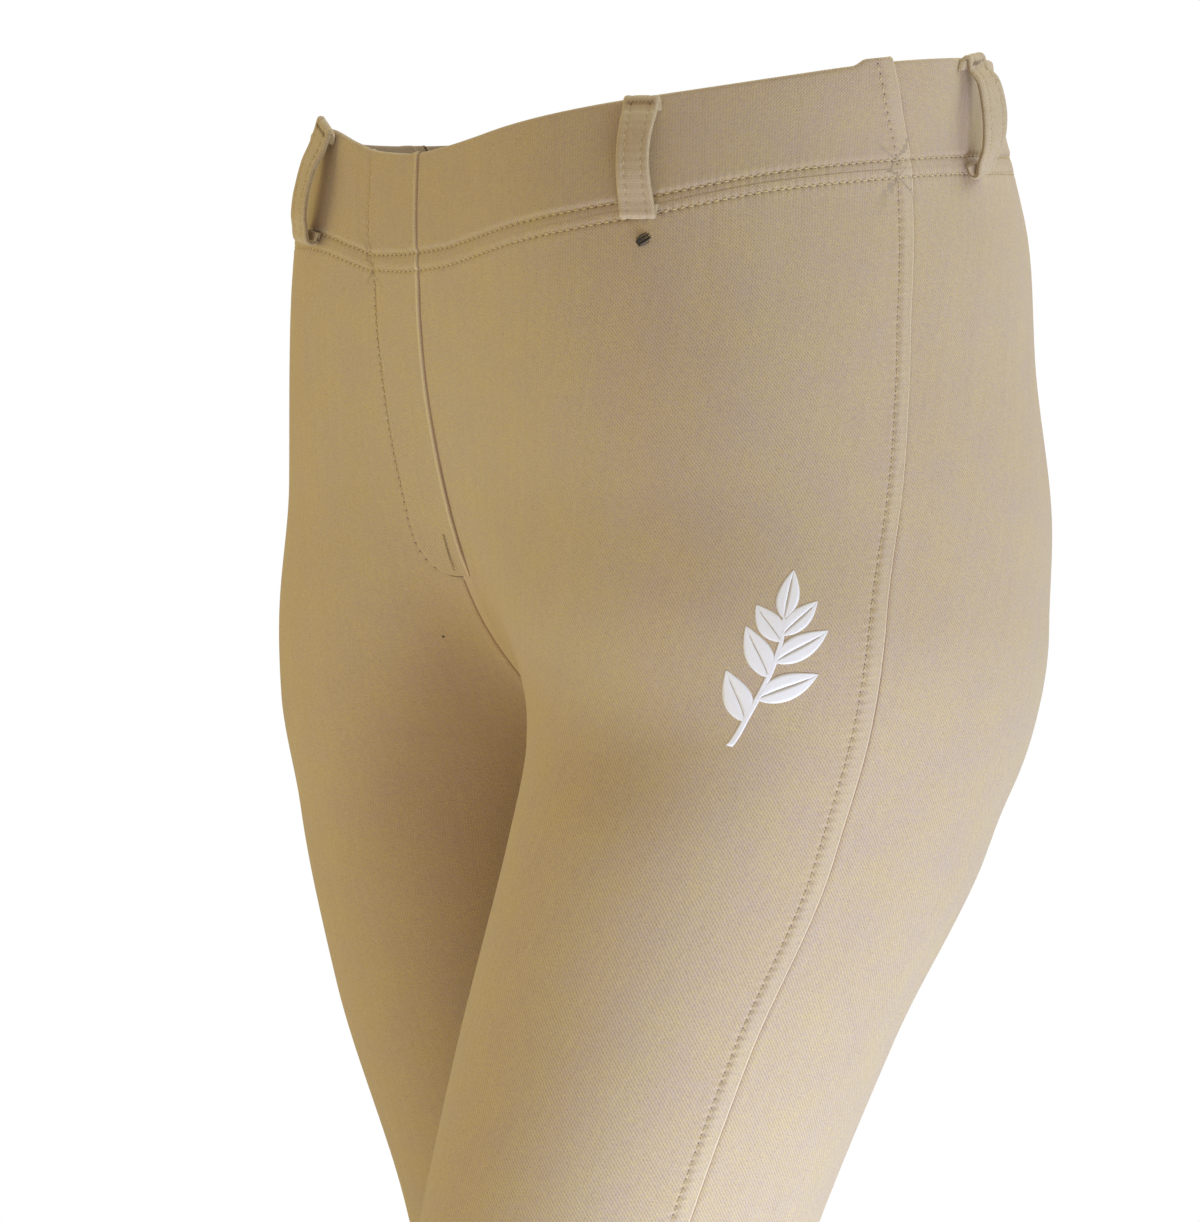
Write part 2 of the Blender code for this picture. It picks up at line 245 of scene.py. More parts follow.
def surface(side, z, angle):
    # the outer face at an angle about the half's axis
    ax, ay = axisOf(side, z)
    left, right = sections(z)
    dx, dy = np.cos(np.radians(angle)), np.sin(np.radians(angle))
    toMiddle = np.where(dx < -0.05, ax / np.maximum(-dx, 0.05), 200)
    reach = root(0 * z + 5, np.minimum(toMiddle, 200),
                 lambda r: outsideBy(side * (ax + r * dx), ay + r * dy, left, right))
    return np.stack([side * (ax + reach * dx), ay + reach * dy, z], axis=-1)


def unit(vectors):
    return vectors / np.maximum(np.linalg.norm(vectors, axis=-1, keepdims=True), 1e-9)


def normalsAt(points):
    steps = 0.1 * np.eye(3)
    slopes = [outside(*np.moveaxis(points + step, -1, 0)) - outside(*np.moveaxis(points - step, -1, 0))
              for step in steps]
    return unit(np.stack(slopes, axis=-1))


def onPanel(side, face, shares, z):
    # shares run from the panel's inner edge (0) to the side seam (1)
    start = innerAngle(side, face, z)
    end = seamAngle(z)[..., 0]
    points = surface(side, z, start + (end - start) * shares)
    onCentre = (shares == 0) & (z >= crotchZ)
    points[..., 0] = np.where(onCentre, 0, points[..., 0])
    points[..., 1] = np.where(onCentre, centreY(face, z), points[..., 1])
    return points


def bodyTurn(points):
    bodyY = halves[leftSide](points[..., 2])[..., 1]
    return np.degrees(np.arctan2(np.abs(points[..., 0]), bodyY - points[..., 1]))


def bandHeight(side, turn, rise):
    # heights in the waistband, from its seam (0) to its top (1), at a turn about the body
    first = 0 if side == leftSide else 2
    heights = waistHeight(turn)
    return heights[..., first] * (1 - rise) + heights[..., first + 1] * rise


def bandGrid(side, face, shares, rises):
    shares, rises = np.broadcast_arrays(shares[None, :], rises[:, None])
    z = -20.0 + 0 * rises
    for _ in range(9):
        z = bandHeight(side, bodyTurn(onPanel(side, face, shares, z)), rises)
    return onPanel(side, face, shares, z)


def alongRows(grid):
    # distance along each row of a grid
    step = np.linalg.norm(np.diff(grid, axis=1), axis=-1)
    return np.concatenate([0 * step[:, :1], np.cumsum(step, axis=1)], axis=1)


def turned(grid):
    return np.swapaxes(grid, 0, 1)


def alongColumns(grid):
    return alongRows(turned(grid)).T


def smooth(t):
    t = np.clip(t, 0, 1)
    return t * t * (3 - 2 * t)


def bell(distance, width):
    return np.exp(-(distance / width) ** 2)


def rounding(distance, radius):
    t = np.clip(1 - distance / radius, 0, 1)
    return np.sqrt(1 - t * t)


def roundOver(distance, radius):
    # how far a rounded edge has dropped at a distance from it
    return -radius * (1 - rounding(distance, radius))


def spread(length, step, fineAtStart=(0.0,), fineAtEnd=(0.0,)):
    # places along a length: fine ones near the ends and even ones between
    first, last = np.array(fineAtStart), length - np.array(fineAtEnd[::-1])
    count = max(2, int(round((last[0] - first[-1]) / step)))
    middle = np.linspace(first[-1], last[0], count + 1)
    return np.concatenate([first[:-1], middle, last[1:]])


def withFiner(places, start, end, count):
    # the same places with evenly fine ones over a stretch of them
    places = places[(places < start) | (places > end)]
    return np.sort(np.concatenate([places, np.linspace(start, end, count)]))


# ---- meshes

def addMesh(name, points, faces, finishes, maps=None, indices=None, rim=None):
    mesh = bpy.data.meshes.new(name)
    mesh.from_pydata((np.asarray(points) * metres).tolist(), [], faces)
    corners = np.zeros(len(mesh.loops), int)
    mesh.loops.foreach_get("vertex_index", corners)
    for layer, values in (maps or {}).items():
        made = mesh.uv_layers.new(name=layer)
        made.data.foreach_set("uv", np.asarray(values, float)[corners].ravel())
    for finish in finishes:
        mesh.materials.append(finish)
    if indices is not None:
        mesh.polygons.foreach_set("material_index", np.asarray(indices, np.int32))
    mesh.shade_smooth()
    if rim is not None:
        # the cut edges stay crisp, so their corners don't tint the faces beside them
        ends = np.zeros(len(mesh.edges) * 2, np.int32)
        mesh.edges.foreach_get("vertices", ends)
        crisp = (rim[ends[::2]] == rim[ends[1::2]]) & (rim[ends[::2]] > 0)
        mesh.edges.foreach_set("use_edge_sharp", crisp)
    mesh.update()
    made = bpy.data.objects.new(name, mesh)
    bpy.context.scene.collection.objects.link(made)
    return made


def wallFaces(outer, inner):
    # the faces of a closed wall between two grids of points: outer ones, inner ones and the rim's
    rows, columns = outer.shape[:2]
    count = rows * columns
    i, j = np.meshgrid(np.arange(rows - 1), np.arange(columns - 1), indexing="ij")
    corner = (i * columns + j).ravel()
    faces = np.stack([corner, corner + columns, corner + columns + 1, corner + 1], axis=1)
    at = np.arange(count).reshape(rows, columns)
    ring = np.concatenate([at[0], at[1:, -1], at[-1, -2::-1], at[-2:0:-1, 0]])
    after = np.roll(ring, -1)
    edge = np.stack([ring, after, after + count, ring + count], axis=1)
    everything = np.concatenate([faces, faces[:, ::-1] + count, edge])
    a, b, c = (outer.reshape(-1, 3)[faces[:, k]] for k in (0, 1, 3))
    if (np.cross(b - a, c - a) * (outer - inner).reshape(-1, 3)[faces[:, 0]]).sum() < 0:
        everything = everything[:, ::-1]
    return everything, len(faces), ring


def ringFaces(deep, around):
    # the faces along a tube whose rings follow each other
    i, j = np.meshgrid(np.arange(deep - 1), np.arange(around), indexing="ij")
    near, far, k = i * around, (i + 1) * around, (j + 1) % around
    return np.stack([near + j, near + k, far + k, far + j], axis=-1).reshape(-1, 4)


def flat(grid):
    return grid.reshape(-1, grid.shape[-1])


def addShell(name, outer, inner, uv, sewn, finishes, folds, beside=0.0):
    # a closed wall of cloth, its inner face in the second finish; folds is how far each point is from a
    # folded edge, in millimetres, below 0 on the cloth that the edge lies against
    everything, count, ring = wallFaces(outer, inner)
    indices = np.zeros(len(everything), int)
    indices[count:2 * count] = 1
    onRim = np.zeros((2, outer[..., 0].size), np.int32)
    onRim[0, ring], onRim[1, ring] = 1, 2
    maps = {"cloth": uv, "sewn": sewn, "folds": np.stack([folds, beside + 0 * folds], axis=-1)}
    maps = {layer: np.concatenate([flat(values)] * 2) for layer, values in maps.items()}
    points = np.concatenate([flat(outer), flat(inner)])
    return addMesh(name + "_cloth", points, everything.tolist(), finishes, maps, indices, onRim.ravel())


def drawnBack(edge, beside):
    step, run = unit(beside - edge), unit(np.gradient(edge, axis=0))
    square = np.linalg.norm(np.cross(step, run), axis=-1, keepdims=True)
    return edge + step * form["seamGap"] / 2 / np.maximum(square, 0.4)


def trimmed(points, topOnly=False):
    # drawn back by half a gap from the seams, or from the top one only
    points = points.copy()
    if not topOnly:
        points[:, 0] = drawnBack(points[:, 0], points[:, 1])
    points[0] = drawnBack(points[0], points[1])
    if not topOnly:
        points[:, -1] = drawnBack(points[:, -1], points[:, -2])
    return points


def lineAt(points, away, distance, wanted, along):
    # the line across a grid at a wanted distance, with the surface direction and the length there
    lines = [np.array([[np.interp(wanted, distance[:, j], values[:, j, k]) for k in range(values.shape[-1])]
                       for j in range(points.shape[1])]) for values in (points, away, along[..., None])]
    return lines[0], lines[1], lines[2][:, 0]


def lineDown(points, away, distance, wanted, along):
    # the same down a grid, for distances that grow away from its last column
    return lineAt(*(turned(grid)[::-1] for grid in (points, away, distance)), wanted, turned(along)[::-1])


# ---- creases: soft troughs (-) and ridges (+) laid on each panel

creases = {
    # share of the width, height, length, width, depth, slope of the crease, bow
    "front_left": [
        # the fullness over the hip and the dip below it
        (0.74, -88, 62, 40, 2.8, 12, 0), (0.68, -222, 58, 44, -2.6, 14, 0),
        (0.03, -236, 26, 5.5, -0.9, -38, 0.2), (0.07, -247, 30, 6, 0.7, -34, 0.1),
        (0.10, -262, 34, 7, -0.6, -30, 0.1), (0.20, -585, 38, 11, 0.8, 8, 0.3),
        (0.62, -603, 46, 12, -0.9, -6, 0.3), (0.35, -690, 40, 10, -0.8, 5, -0.3),
        (0.80, -676, 34, 9, 0.7, -9, 0.2), (0.45, -884, 36, 6, -1.0, 6, 0.5),
        (0.70, -902, 30, 5, 0.9, -5, 0.4), (0.25, -913, 26, 5, -0.8, 9, 0.4),
        (0.55, -858, 42, 8, 0.7, -8, 0.3), (0.90, -930, 20, 5, -0.6, 12, 0.2),
    ],
    "front_right": [
        (0.02, -235, 24, 5, -0.8, -40, 0.2), (0.06, -249, 30, 6, 0.6, -33, 0.1),
        (0.30, -592, 40, 12, -0.8, 7, 0.3), (0.70, -610, 38, 11, 0.8, -5, 0.3),
        (0.45, -702, 44, 10, -0.9, 4, -0.3), (0.15, -668, 30, 8, 0.6, 10, 0.2),
        (0.35, -876, 34, 6, 0.9, 7, 0.5), (0.62, -893, 38, 6, -1.0, -4, 0.4),
        (0.80, -915, 24, 5, 0.7, -9, 0.4), (0.22, -921, 26, 5, -0.7, 8, 0.3),
    ],
    "back_left": [
        (0.16, -218, 52, 8, -1.7, -24, 0.35), (0.24, -236, 60, 9, 1.1, -20, 0.3),
        (0.33, -262, 58, 10, -1.2, -16, 0.25), (0.12, -255, 40, 8, 0.8, -30, 0.2),
        (0.60, -246, 48, 12, -0.7, 10, 0.3), (0.40, -626, 44, 6, -1.9, 5, 0.5),
        (0.55, -640, 52, 6.5, 1.5, -4, 0.4), (0.30, -652, 40, 6, -1.7, 8, 0.5),
        (0.66, -661, 36, 6, -1.3, -9, 0.4), (0.45, -672, 46, 7, 1.1, 3, 0.4),
        (0.25, -611, 32, 6, 1.0, 12, 0.3), (0.50, -598, 40, 8, -0.8, -7, 0.3),
        (0.40, -868, 40, 7, -1.0, -6, 0.4), (0.60, -889, 34, 6, 1.0, 5, 0.4),
        (0.30, -906, 30, 5.5, -0.9, -9, 0.4), (0.75, -921, 26, 5, 0.7, 10, 0.3),
    ],
    "back_right": [
        (0.15, -219, 48, 8, -1.6, -22, 0.35), (0.22, -239, 62, 9, 1.2, -19, 0.3),
        (0.35, -258, 50, 9, -1.0, -15, 0.25), (0.10, -257, 36, 8, 0.7, -30, 0.2),
        (0.62, -251, 44, 12, -0.6, 12, 0.3), (0.45, -622, 50, 6, -1.8, -5, 0.5),
        (0.35, -637, 44, 6, 1.4, 6, 0.4), (0.60, -650, 46, 6.5, -1.6, -7, 0.5),
        (0.28, -660, 34, 6, -1.2, 10, 0.4), (0.50, -675, 48, 7, 1.0, -3, 0.4),
        (0.72, -607, 30, 6, 0.9, -12, 0.3), (0.42, -594, 42, 8, -0.7, 6, 0.3),
        (0.50, -872, 42, 7, 1.0, 5, 0.4), (0.35, -893, 36, 6, -1.0, -6, 0.4),
        (0.66, -910, 28, 5.5, 0.8, 8, 0.4), (0.20, -924, 24, 5, -0.7, -10, 0.3),
    ],
}


def creaseHeight(name, shares, widths, z):
    height = 0 * z
    for share, level, length, width, depth, slope, bow in creases[name]:
        across = (shares - share) * widths
        up = z - level
        c, s = math.cos(math.radians(slope)), math.sin(math.radians(slope))
        run, off = across * c + up * s, up * c - across * s
        off = off + bow * run * run / (2 * length)
        height = height + depth * bell(off, width) * bell(run, length)
    return height


# ---- seam profiles: cloth height beside each seam and stitch line

seams = {
    "twin": 3.2,             # from the waist seam to each of its two rows of stitches
    "twinPuff": 0.22,        # the cloth between them
    "groove": 0.24,          # stitches pull the cloth down
    "grooveWidth": 0.62,
    "lip": 0.10,
    "side": 7.0,             # from the side seam to its row of stitches, which are a little longer
    "sideStretch": 1.08,
    "sideStep": 0.5,         # the turned allowance lifts the front edge of the side seam
    "sideSag": 0.45,
    "sideRidge": 0.22,
    "sideRound": 0.55,
    "sideDip": 0.3,          # the back panel lies a little lower there
    "centreDip": 0.55,
    "centreLip": 0.16,
    "backLip": 0.10,
    "lipAt": 2.4,
    "hemRise": 0.55,
    "hemRows": (19.0, 15.6),
    "hemGrooves": (0.7, 0.6),
    "hemRound": 1.3,
}


def stitchGroove(distance, depth=1.0):
    d = np.abs(distance)
    return depth * (seams["lip"] * bell(d - 2.0, 1.2) - seams["groove"] * bell(d, seams["grooveWidth"]))


def twinBelow(distance):
    reach = seams["twin"]
    puff = seams["twinPuff"] * np.clip(1 - (distance / reach) ** 2, 0, 1)
    return puff + stitchGroove(distance - reach)


def twinAbove(distance):
    return twinBelow(distance) + form["bandProud"] * smooth((distance - seams["twin"]) / 2.4)


def sideFront(distance):
    rise = seams["sideStep"] * smooth((seams["side"] + 1.0 - distance) / 3.4)
    rise = rise * (1 - seams["sideSag"] * np.clip((5.0 - distance) / 5.0, 0, 1) ** 2)
    rise = rise + seams["sideRidge"] * bell(distance - 0.7, 0.5)
    return rise + stitchGroove(distance - seams["side"], 0.5) + roundOver(distance, seams["sideRound"])


def sideBack(distance):
    lip = seams["backLip"] * bell(distance - seams["lipAt"], 1.4)
    return lip - seams["sideDip"] * bell(distance, 0.8)


def centreSeam(distance):
    lip = seams["centreLip"] * bell(distance - seams["lipAt"], 1.6)
    return lip - seams["centreDip"] * bell(distance, 0.75)


def hemProfile(fromHem):
    # the turned-up hem stands a little proud, under two rows of stitches
    rise = seams["hemRise"] * smooth((form["hemDepth"] + 1.0 - fromHem) / 2.0)
    return rise + sum(stitchGroove(fromHem - row, depth)
                      for row, depth in zip(seams["hemRows"], seams["hemGrooves"]))


# ---- the fly outline: its folded edge laps the left front, and a curved row of stitches holds it

fly = {
    # height, and how far to the wearer's left of the middle the fold lies
    "foldEdge": Curve([(-166, 6.0), (-160, 6.4), (-144, 5.2), (-127, 4.0), (-101, 3.3), (-78, 4.2),
                       (-54, 6.2), (-47, 6.6), (-14, 5.7), (0, 5.2)]),
    # height, and how far to the right the row of stitches lies
    "straightEdge": Curve([(-142, 23.2), (-133, 24.4), (-105, 26.2), (-78, 26.2), (-56, 24.8),
                           (-46, 26.6), (-10, 27.7)]),
    "stitchTop": -54.4,
    "stitchSink": 0.16,
    "curveStart": -142.0,
    "curveWidth": 25.0,
    "curvePower": 2.3,
    "end": -166.0,
    "heelWidth": 3.0,
    "top": -51.0,
    "seamTurn": 4.0,         # the fly starts at the waist seam's height at this turn about the body
    "length": 114.0,
    "width": 28.0,
    "lapWidth": 30.0,
    "lift": 1.0,
    "lapLift": 0.9,
    "cloth": 1.0,
    "stitchIn": 1.6,
    "foldRound": 1.5,
    # columns and rows of its strips, fine beside the fold, the stitches and the rounded end
    "columnStep": 1.1,
    "rowStep": 2.6,
    "endRows": np.linspace(0.16, 0.002, 34) ** 1.25,
    "fineFold": (0.0, 0.05, 0.16, 0.34, 0.6, 1.0, 1.6),
    "fineStitches": (0.0, 0.5, 0.9, 1.2, 1.5, 1.8, 2.1, 2.6, 3.3, 4.2),
    # fine columns and rows of the right front around the stitches
    "finePanel": (0.06, 0.125, 26),
    "fineRows": (0.51, 0.69, 30),
}


def flyStitchX(z):
    # the stitched edge of the fly, rounding in to the seam at its lower end
    z = np.asarray(z, float)
    t = np.clip((fly["curveStart"] - z) / (fly["curveStart"] - fly["end"]), 0, 1)
    width = fly["straightEdge"](np.maximum(z, fly["curveStart"]))[..., 0]
    power = fly["curvePower"]
    return -(fly["heelWidth"] + (width - fly["heelWidth"]) * (1 - t ** power) ** (1 / power))


def flyDistance(points):
    # distance outside the fly's stitched edge, negative within it
    z = np.linspace(fly["end"], fly["top"], 160)
    x = np.concatenate([[2.0, -1.0], flyStitchX(z)])
    z = np.concatenate([[fly["end"], fly["end"]], z])
    px, pz = points[..., 0], points[..., 2]
    nearest = np.full(px.shape, 1e9)
    for ax, az, bx, bz in zip(x[:-1], z[:-1], x[1:], z[1:]):
        length = (bx - ax) ** 2 + (bz - az) ** 2 + 1e-9
        t = np.clip(((px - ax) * (bx - ax) + (pz - az) * (bz - az)) / length, 0, 1)
        nearest = np.minimum(nearest, np.hypot(px - ax - t * (bx - ax), pz - az - t * (bz - az)))
    within = (px > flyStitchX(pz)) & (pz > fly["end"])
    return np.where(within, -nearest, nearest)


def fromFold(points):
    # distance to the wearer's right of the fly's fold, below 0 on the cloth it lies against
    return fly["foldEdge"](points[..., 2])[..., 0] - points[..., 0]


# ---- finishes

class Value:
    # what one node passes to another: arithmetic on it adds maths nodes
    def __init__(self, socket):
        self.socket, self.tree = socket, socket.id_data

    def __add__(self, other):
        return maths("ADD", self, other)

    def __sub__(self, other):
        return maths("SUBTRACT", self, other)

    def __rsub__(self, other):
        return maths("SUBTRACT", other, self)

    def __mul__(self, other):
        return maths("MULTIPLY", self, other)

    def __truediv__(self, other):
        return maths("DIVIDE", self, other)

    def __rtruediv__(self, other):
        return maths("DIVIDE", other, self)

    __radd__, __rmul__ = __add__, __mul__


def setInputs(node, inputs):
    for key, given in inputs.items():
        if isinstance(given, Value):
            node.id_data.links.new(given.socket, node.inputs[key])
        else:
            node.inputs[key].default_value = given


def place(tree, kind, inputs=None, **settings):
    node = tree.nodes.new(kind)
    for key, setting in settings.items():
        setattr(node, key, setting)
    setInputs(node, inputs or {})
    return node


def result(tree, kind, inputs=None, output=0, **settings):
    return Value(place(tree, kind, inputs, **settings).outputs[output])


def maths(operation, *values):
    tree = next(each.tree for each in values if isinstance(each, Value))
    return result(tree, "ShaderNodeMath", dict(enumerate(values)), operation=operation)


def hump(number):
    # 1 where a number is 0, falling to 0 at 1 and -1
    return maths("MAXIMUM", 1.0 - number * number, 0.0)


def noiseAt(tree, vector, scale, detail=2.0, roughness=0.5):
    return result(tree, "ShaderNodeTexNoise",
                  {"Vector": vector, "Scale": scale, "Detail": detail, "Roughness": roughness})


def mapOf(tree, name):
    uv = result(tree, "ShaderNodeUVMap", uv_map=name)
    parts = place(tree, "ShaderNodeSeparateXYZ", {0: uv})
    return uv, Value(parts.outputs[0]), Value(parts.outputs[1])


def mixColour(tree, factor, first, second):
    return result(tree, "ShaderNodeMix", {0: factor, 6: first, 7: second}, 2, data_type="RGBA")


def bump(tree, height, strength, distance, **normal):
    inputs = {"Height": height, "Strength": strength, "Distance": distance, **normal}
    return result(tree, "ShaderNodeBump", inputs)


def newGroup(name, defaults, outputs):
    tree = bpy.data.node_groups.new(name, "ShaderNodeTree")
    for label, default in defaults.items():
        kind = "NodeSocketColor" if isinstance(default, tuple) else "NodeSocketFloat"
        tree.interface.new_socket(label, in_out="INPUT", socket_type=kind).default_value = default
    for label in outputs:
        kind = "NodeSocketColor" if label == "Colour" else "NodeSocketFloat"
        tree.interface.new_socket(label, in_out="OUTPUT", socket_type=kind)
    into = tree.nodes.new("NodeGroupInput")
    return tree, {label: Value(into.outputs[label]) for label in defaults}


knit = {
    # scale, detail, roughness and amount of each unevenness in the cloth
    "sway": (260.0, 2.0, 0.5, 0.0009),
    "jitter": (800.0, 1.0, 0.5, 0.0007),
    "cloudy": (240.0, 3.0, 0.65, 0.34),
    "broad": (26.0, 2.0, 0.5, 0.12),
    "fleck": (620.0, 2.0, 0.6, 2.3),
    "patch": (60.0, 2.0, 0.5, 1.2),
    "fuzz": (1500.0, 3.0, 0.7, 1.0),
    # scales across and up the cloth, detail and amount of the ones that are stretched
    "ribs": ((430.0, 1500.0), 1.0, 0.42),
    "streak": ((380.0, 9.0), 2.0, 1.0),
    # how strongly the columns and the stitches show
    "wave": 0.10,
    "loop": 0.19,
    # the height that shows as the yarn's middle tone, and how fast the painted shade darkens below it and
    # lightens above it
    "middleHeight": 0.27,
    "middleTone": 0.60,
    "toneGain": 2.3,
}


def makeKnitGroup():
    # fine columns of small slanted stitches, with painted shade in the low places between them, uneven in
    # tone as a brushed yarn is
    tree, given = newGroup("knitCloth", {
        "Warm": (0.5, 0.4, 0.28, 1), "Cool": (0.5, 0.4, 0.3, 1), "Valley shade": (0.36, 0.27, 0.17, 1),
        "Wales per metre": 1000.0, "Courses per metre": 1250.0, "Slant": 1.3, "Contrast": 0.5, "Fuzz": 0.4,
        "Streaks": 0.1}, ("Colour", "Height"))
    uv, u, v = mapOf(tree, "cloth")

    def uneven(name):
        scale, detail, roughness, amount = knit[name]
        return (noiseAt(tree, uv, scale, detail, roughness) - 0.5) * amount

    def stretched(name):
        (across, up), detail, amount = knit[name]
        vector = result(tree, "ShaderNodeCombineXYZ", {0: u * across, 1: v * up})
        return (noiseAt(tree, vector, 1.0, detail) - 0.5) * amount

    turn = 2 * math.pi
    wale = (u + uneven("sway") + uneven("jitter")) * given["Wales per metre"]
    wave = maths("COSINE", wale * turn)
    loop = maths("SINE", v * given["Courses per metre"] * turn - wale * given["Slant"] * turn)
    bead = wave * knit["wave"] + loop * knit["loop"] + stretched("ribs") + 0.5
    height = bead * given["Contrast"] + uneven("fuzz") * given["Fuzz"]
    light = stretched("streak") * given["Streaks"] + uneven("cloudy") + uneven("broad")
    reliefShade = (height - knit["middleHeight"]) * knit["toneGain"] + knit["middleTone"]
    hue = result(tree, "ShaderNodeClamp", {0: uneven("fleck") + 0.5 + uneven("patch")})
    yarn = mixColour(tree, hue, given["Warm"], given["Cool"])
    # painted shade: the low places of the knit are mixed toward the valley colour
    colour = mixColour(tree, reliefShade + light, given["Valley shade"], yarn)
    place(tree, "NodeGroupOutput", {"Colour": colour, "Height": height})
    return tree


needle = {
    "pitch": 3.05,
    "sharp": 1.6,            # how sharp a hole's edge is
    "pull": 0.5,             # the pulls beside the holes, and how soon they fade from the row
    "pullFade": 0.16,
    "ribWander": (1.3, 1.1),
    "ribPlace": 3.6,         # the short ribs between the row and its seam
    "ribReach": 3.0,
}


def makeNeedleGroup():
    # needle holes, painted dark for the shade in them, and the small pulls beside them, read from the sewn
    # map:
    # u counts stitches and v is the distance from the row in millimetres
    tree, given = newGroup(
        "needleHoles", {"Hole": 0.42, "Pitch": needle["pitch"], "Drop": 0.0, "Puckers": 0.3},
        ("Hole", "Height"))
    uv, count, off = mapOf(tree, "sewn")
    along = (maths("FRACT", count) - 0.5) * given["Pitch"]
    below = off + given["Drop"]
    reach = maths("SQRT", along * along + below * below)
    hole = maths("MAXIMUM", (1.0 - reach / (given["Hole"] * 2.0)) * needle["sharp"], 0.0)
    hole = maths("MINIMUM", hole, 1.0)
    pull = maths("COSINE", count * (2 * math.pi)) * (1.0 / (off * off * needle["pullFade"] + 1.0))
    scale, wander = needle["ribWander"]
    ribs = maths("COSINE", (count + noiseAt(tree, uv, scale, 1.0) * wander) * (4 * math.pi))
    ribs = ribs * hump((off + needle["ribPlace"]) / needle["ribReach"]) * given["Puckers"]
    place(tree, "NodeGroupOutput", {"Hole": hole, "Height": pull * needle["pull"] - hole + ribs})
    return tree


# where the painted highlight and the painted shadow line lie from a folded edge, their width, and how far the
# paler stretch reaches and fades
fold = {"highlightAt": 0.5, "crease": -0.28, "width": 0.45, "reach": 7.4, "fade": 0.6}


def makeFoldGroup():
    # masks beside a folded edge: a thin painted highlight along it, a thin painted shadow line on the piece
    # it lies on, and a paler stretch over the cloth turned under it
    tree, given = newGroup("foldedEdge", {"Width": fold["width"]}, ("Edge highlight", "Edge shadow", "Beside"))
    _, distance, share = mapOf(tree, "folds")
    fade = maths("MAXIMUM", 1.0 - distance / fold["reach"], 0.0)
    beside = maths("POWER", fade, fold["fade"]) * (maths("GREATER_THAN", distance, 0.0) * share)
    place(tree, "NodeGroupOutput", {"Edge highlight": hump((distance - fold["highlightAt"]) / given["Width"]),
                                    "Edge shadow": hump((distance - fold["crease"]) / given["Width"]),
                                    "Beside": beside})
    return tree


knitGroup, needleGroup, foldGroup = makeKnitGroup(), makeNeedleGroup(), makeFoldGroup()


def shared(tree, group, look):
    # a shared effect with the settings that a look has for it
    node = place(tree, "ShaderNodeGroup", node_tree=group)
    setInputs(node, {socket.name: look[socket.name] for socket in node.inputs if socket.name in look})
    return {socket.name: Value(socket) for socket in node.outputs}


bumpDepth = 0.0003


def newMaterial(name):
    made = bpy.data.materials.new(name)
    made.use_nodes = True
    return made, made.node_tree


def finishMaterial(made, inputs):
    setInputs(made.node_tree.nodes["Principled BSDF"], inputs)
    return made


def knitMaterial(name, look):
    # the garment's cloth: knit, needle holes along its rows of stitches with painted shade in them,
    # painted highlights and shadow lines at folded edges, and a soft dry sheen
    made, tree = newMaterial(name)
    cloth, holes, folds = (shared(tree, group, look) for group in (knitGroup, needleGroup, foldGroup))
    # painted highlight along folded edges, with the paler stretch beside them
    pale = folds["Edge highlight"] * look["Edge highlight"] + folds["Beside"] * look["Beside"]
    # painted shade in the needle holes
    colour = mixColour(tree, holes["Hole"] * look["Hole dark"], cloth["Colour"], look["Hole tint"])
    colour = mixColour(tree, pale, colour, look["Rub tint"])
    # painted shadow: a thin dark line on the cloth that a folded edge lies on
    colour = mixColour(tree, folds["Edge shadow"] * look["Edge shadow"], colour, look["Crease tint"])
    relief = bump(tree, cloth["Height"], look["Relief"], bumpDepth)
    relief = bump(tree, holes["Height"], look["Pull"], bumpDepth, Normal=relief)
    valley, crown = 0.95, 0.82
    rough = result(tree, "ShaderNodeMapRange", {0: cloth["Height"], 1: 0.0, 2: 1.0, 3: valley, 4: crown})
    return finishMaterial(made, {
        "Base Color": colour, "Normal": relief, "Roughness": rough, "Specular IOR Level": 0.16,
        "Sheen Weight": look["Sheen"], "Sheen Roughness": 0.55, "Sheen Tint": (1.0, 0.93, 0.80, 1)})


# some of these set painted light: the shade in needle holes and knit valleys, and the highlight and shadow
# line at folded edges
clothLook = {
    "Warm": (0.612, 0.494, 0.272, 1), "Cool": (0.548, 0.436, 0.362, 1), "Valley shade": (0.370, 0.265, 0.190, 1),
    "Wales per metre": 950.0, "Courses per metre": 790.0, "Slant": 0.70, "Contrast": 0.62, "Fuzz": 0.46,
    "Streaks": 0.20, "Hole": 0.22, "Hole dark": 0.85, "Hole tint": (0.16, 0.105, 0.09, 1), "Drop": -0.3,
    "Puckers": 0.2, "Edge highlight": 0.42, "Rub tint": (0.80, 0.70, 0.52, 1), "Edge shadow": 0.66,
    "Crease tint": (0.29, 0.135, 0.085, 1), "Beside": 0.16, "Relief": 0.5, "Pull": 0.55, "Sheen": 0.22,
}
knitFinish = knitMaterial("knitCloth", clothLook)
bandFinish = knitMaterial("waistbandCloth", {
    **clothLook, "Warm": (0.586, 0.470, 0.262, 1), "Cool": (0.526, 0.418, 0.346, 1), "Drop": 0.3,
    "Edge highlight": 0.26, "Edge shadow": 0.46})
loopFinish = knitMaterial("beltLoopCloth", {
    **clothLook, "Warm": (0.640, 0.525, 0.355, 1), "Cool": (0.615, 0.500, 0.400, 1),
    "Valley shade": (0.42, 0.32, 0.20, 1), "Wales per metre": 1150.0, "Courses per metre": 1300.0,
    "Contrast": 0.4, "Relief": 0.3, "Hole dark": 0.45, "Drop": 0.0, "Puckers": 0.0, "Pull": 0.35,
    "Sheen": 0.28, "Edge highlight": 0.0, "Edge shadow": 0.0, "Beside": 0.0})


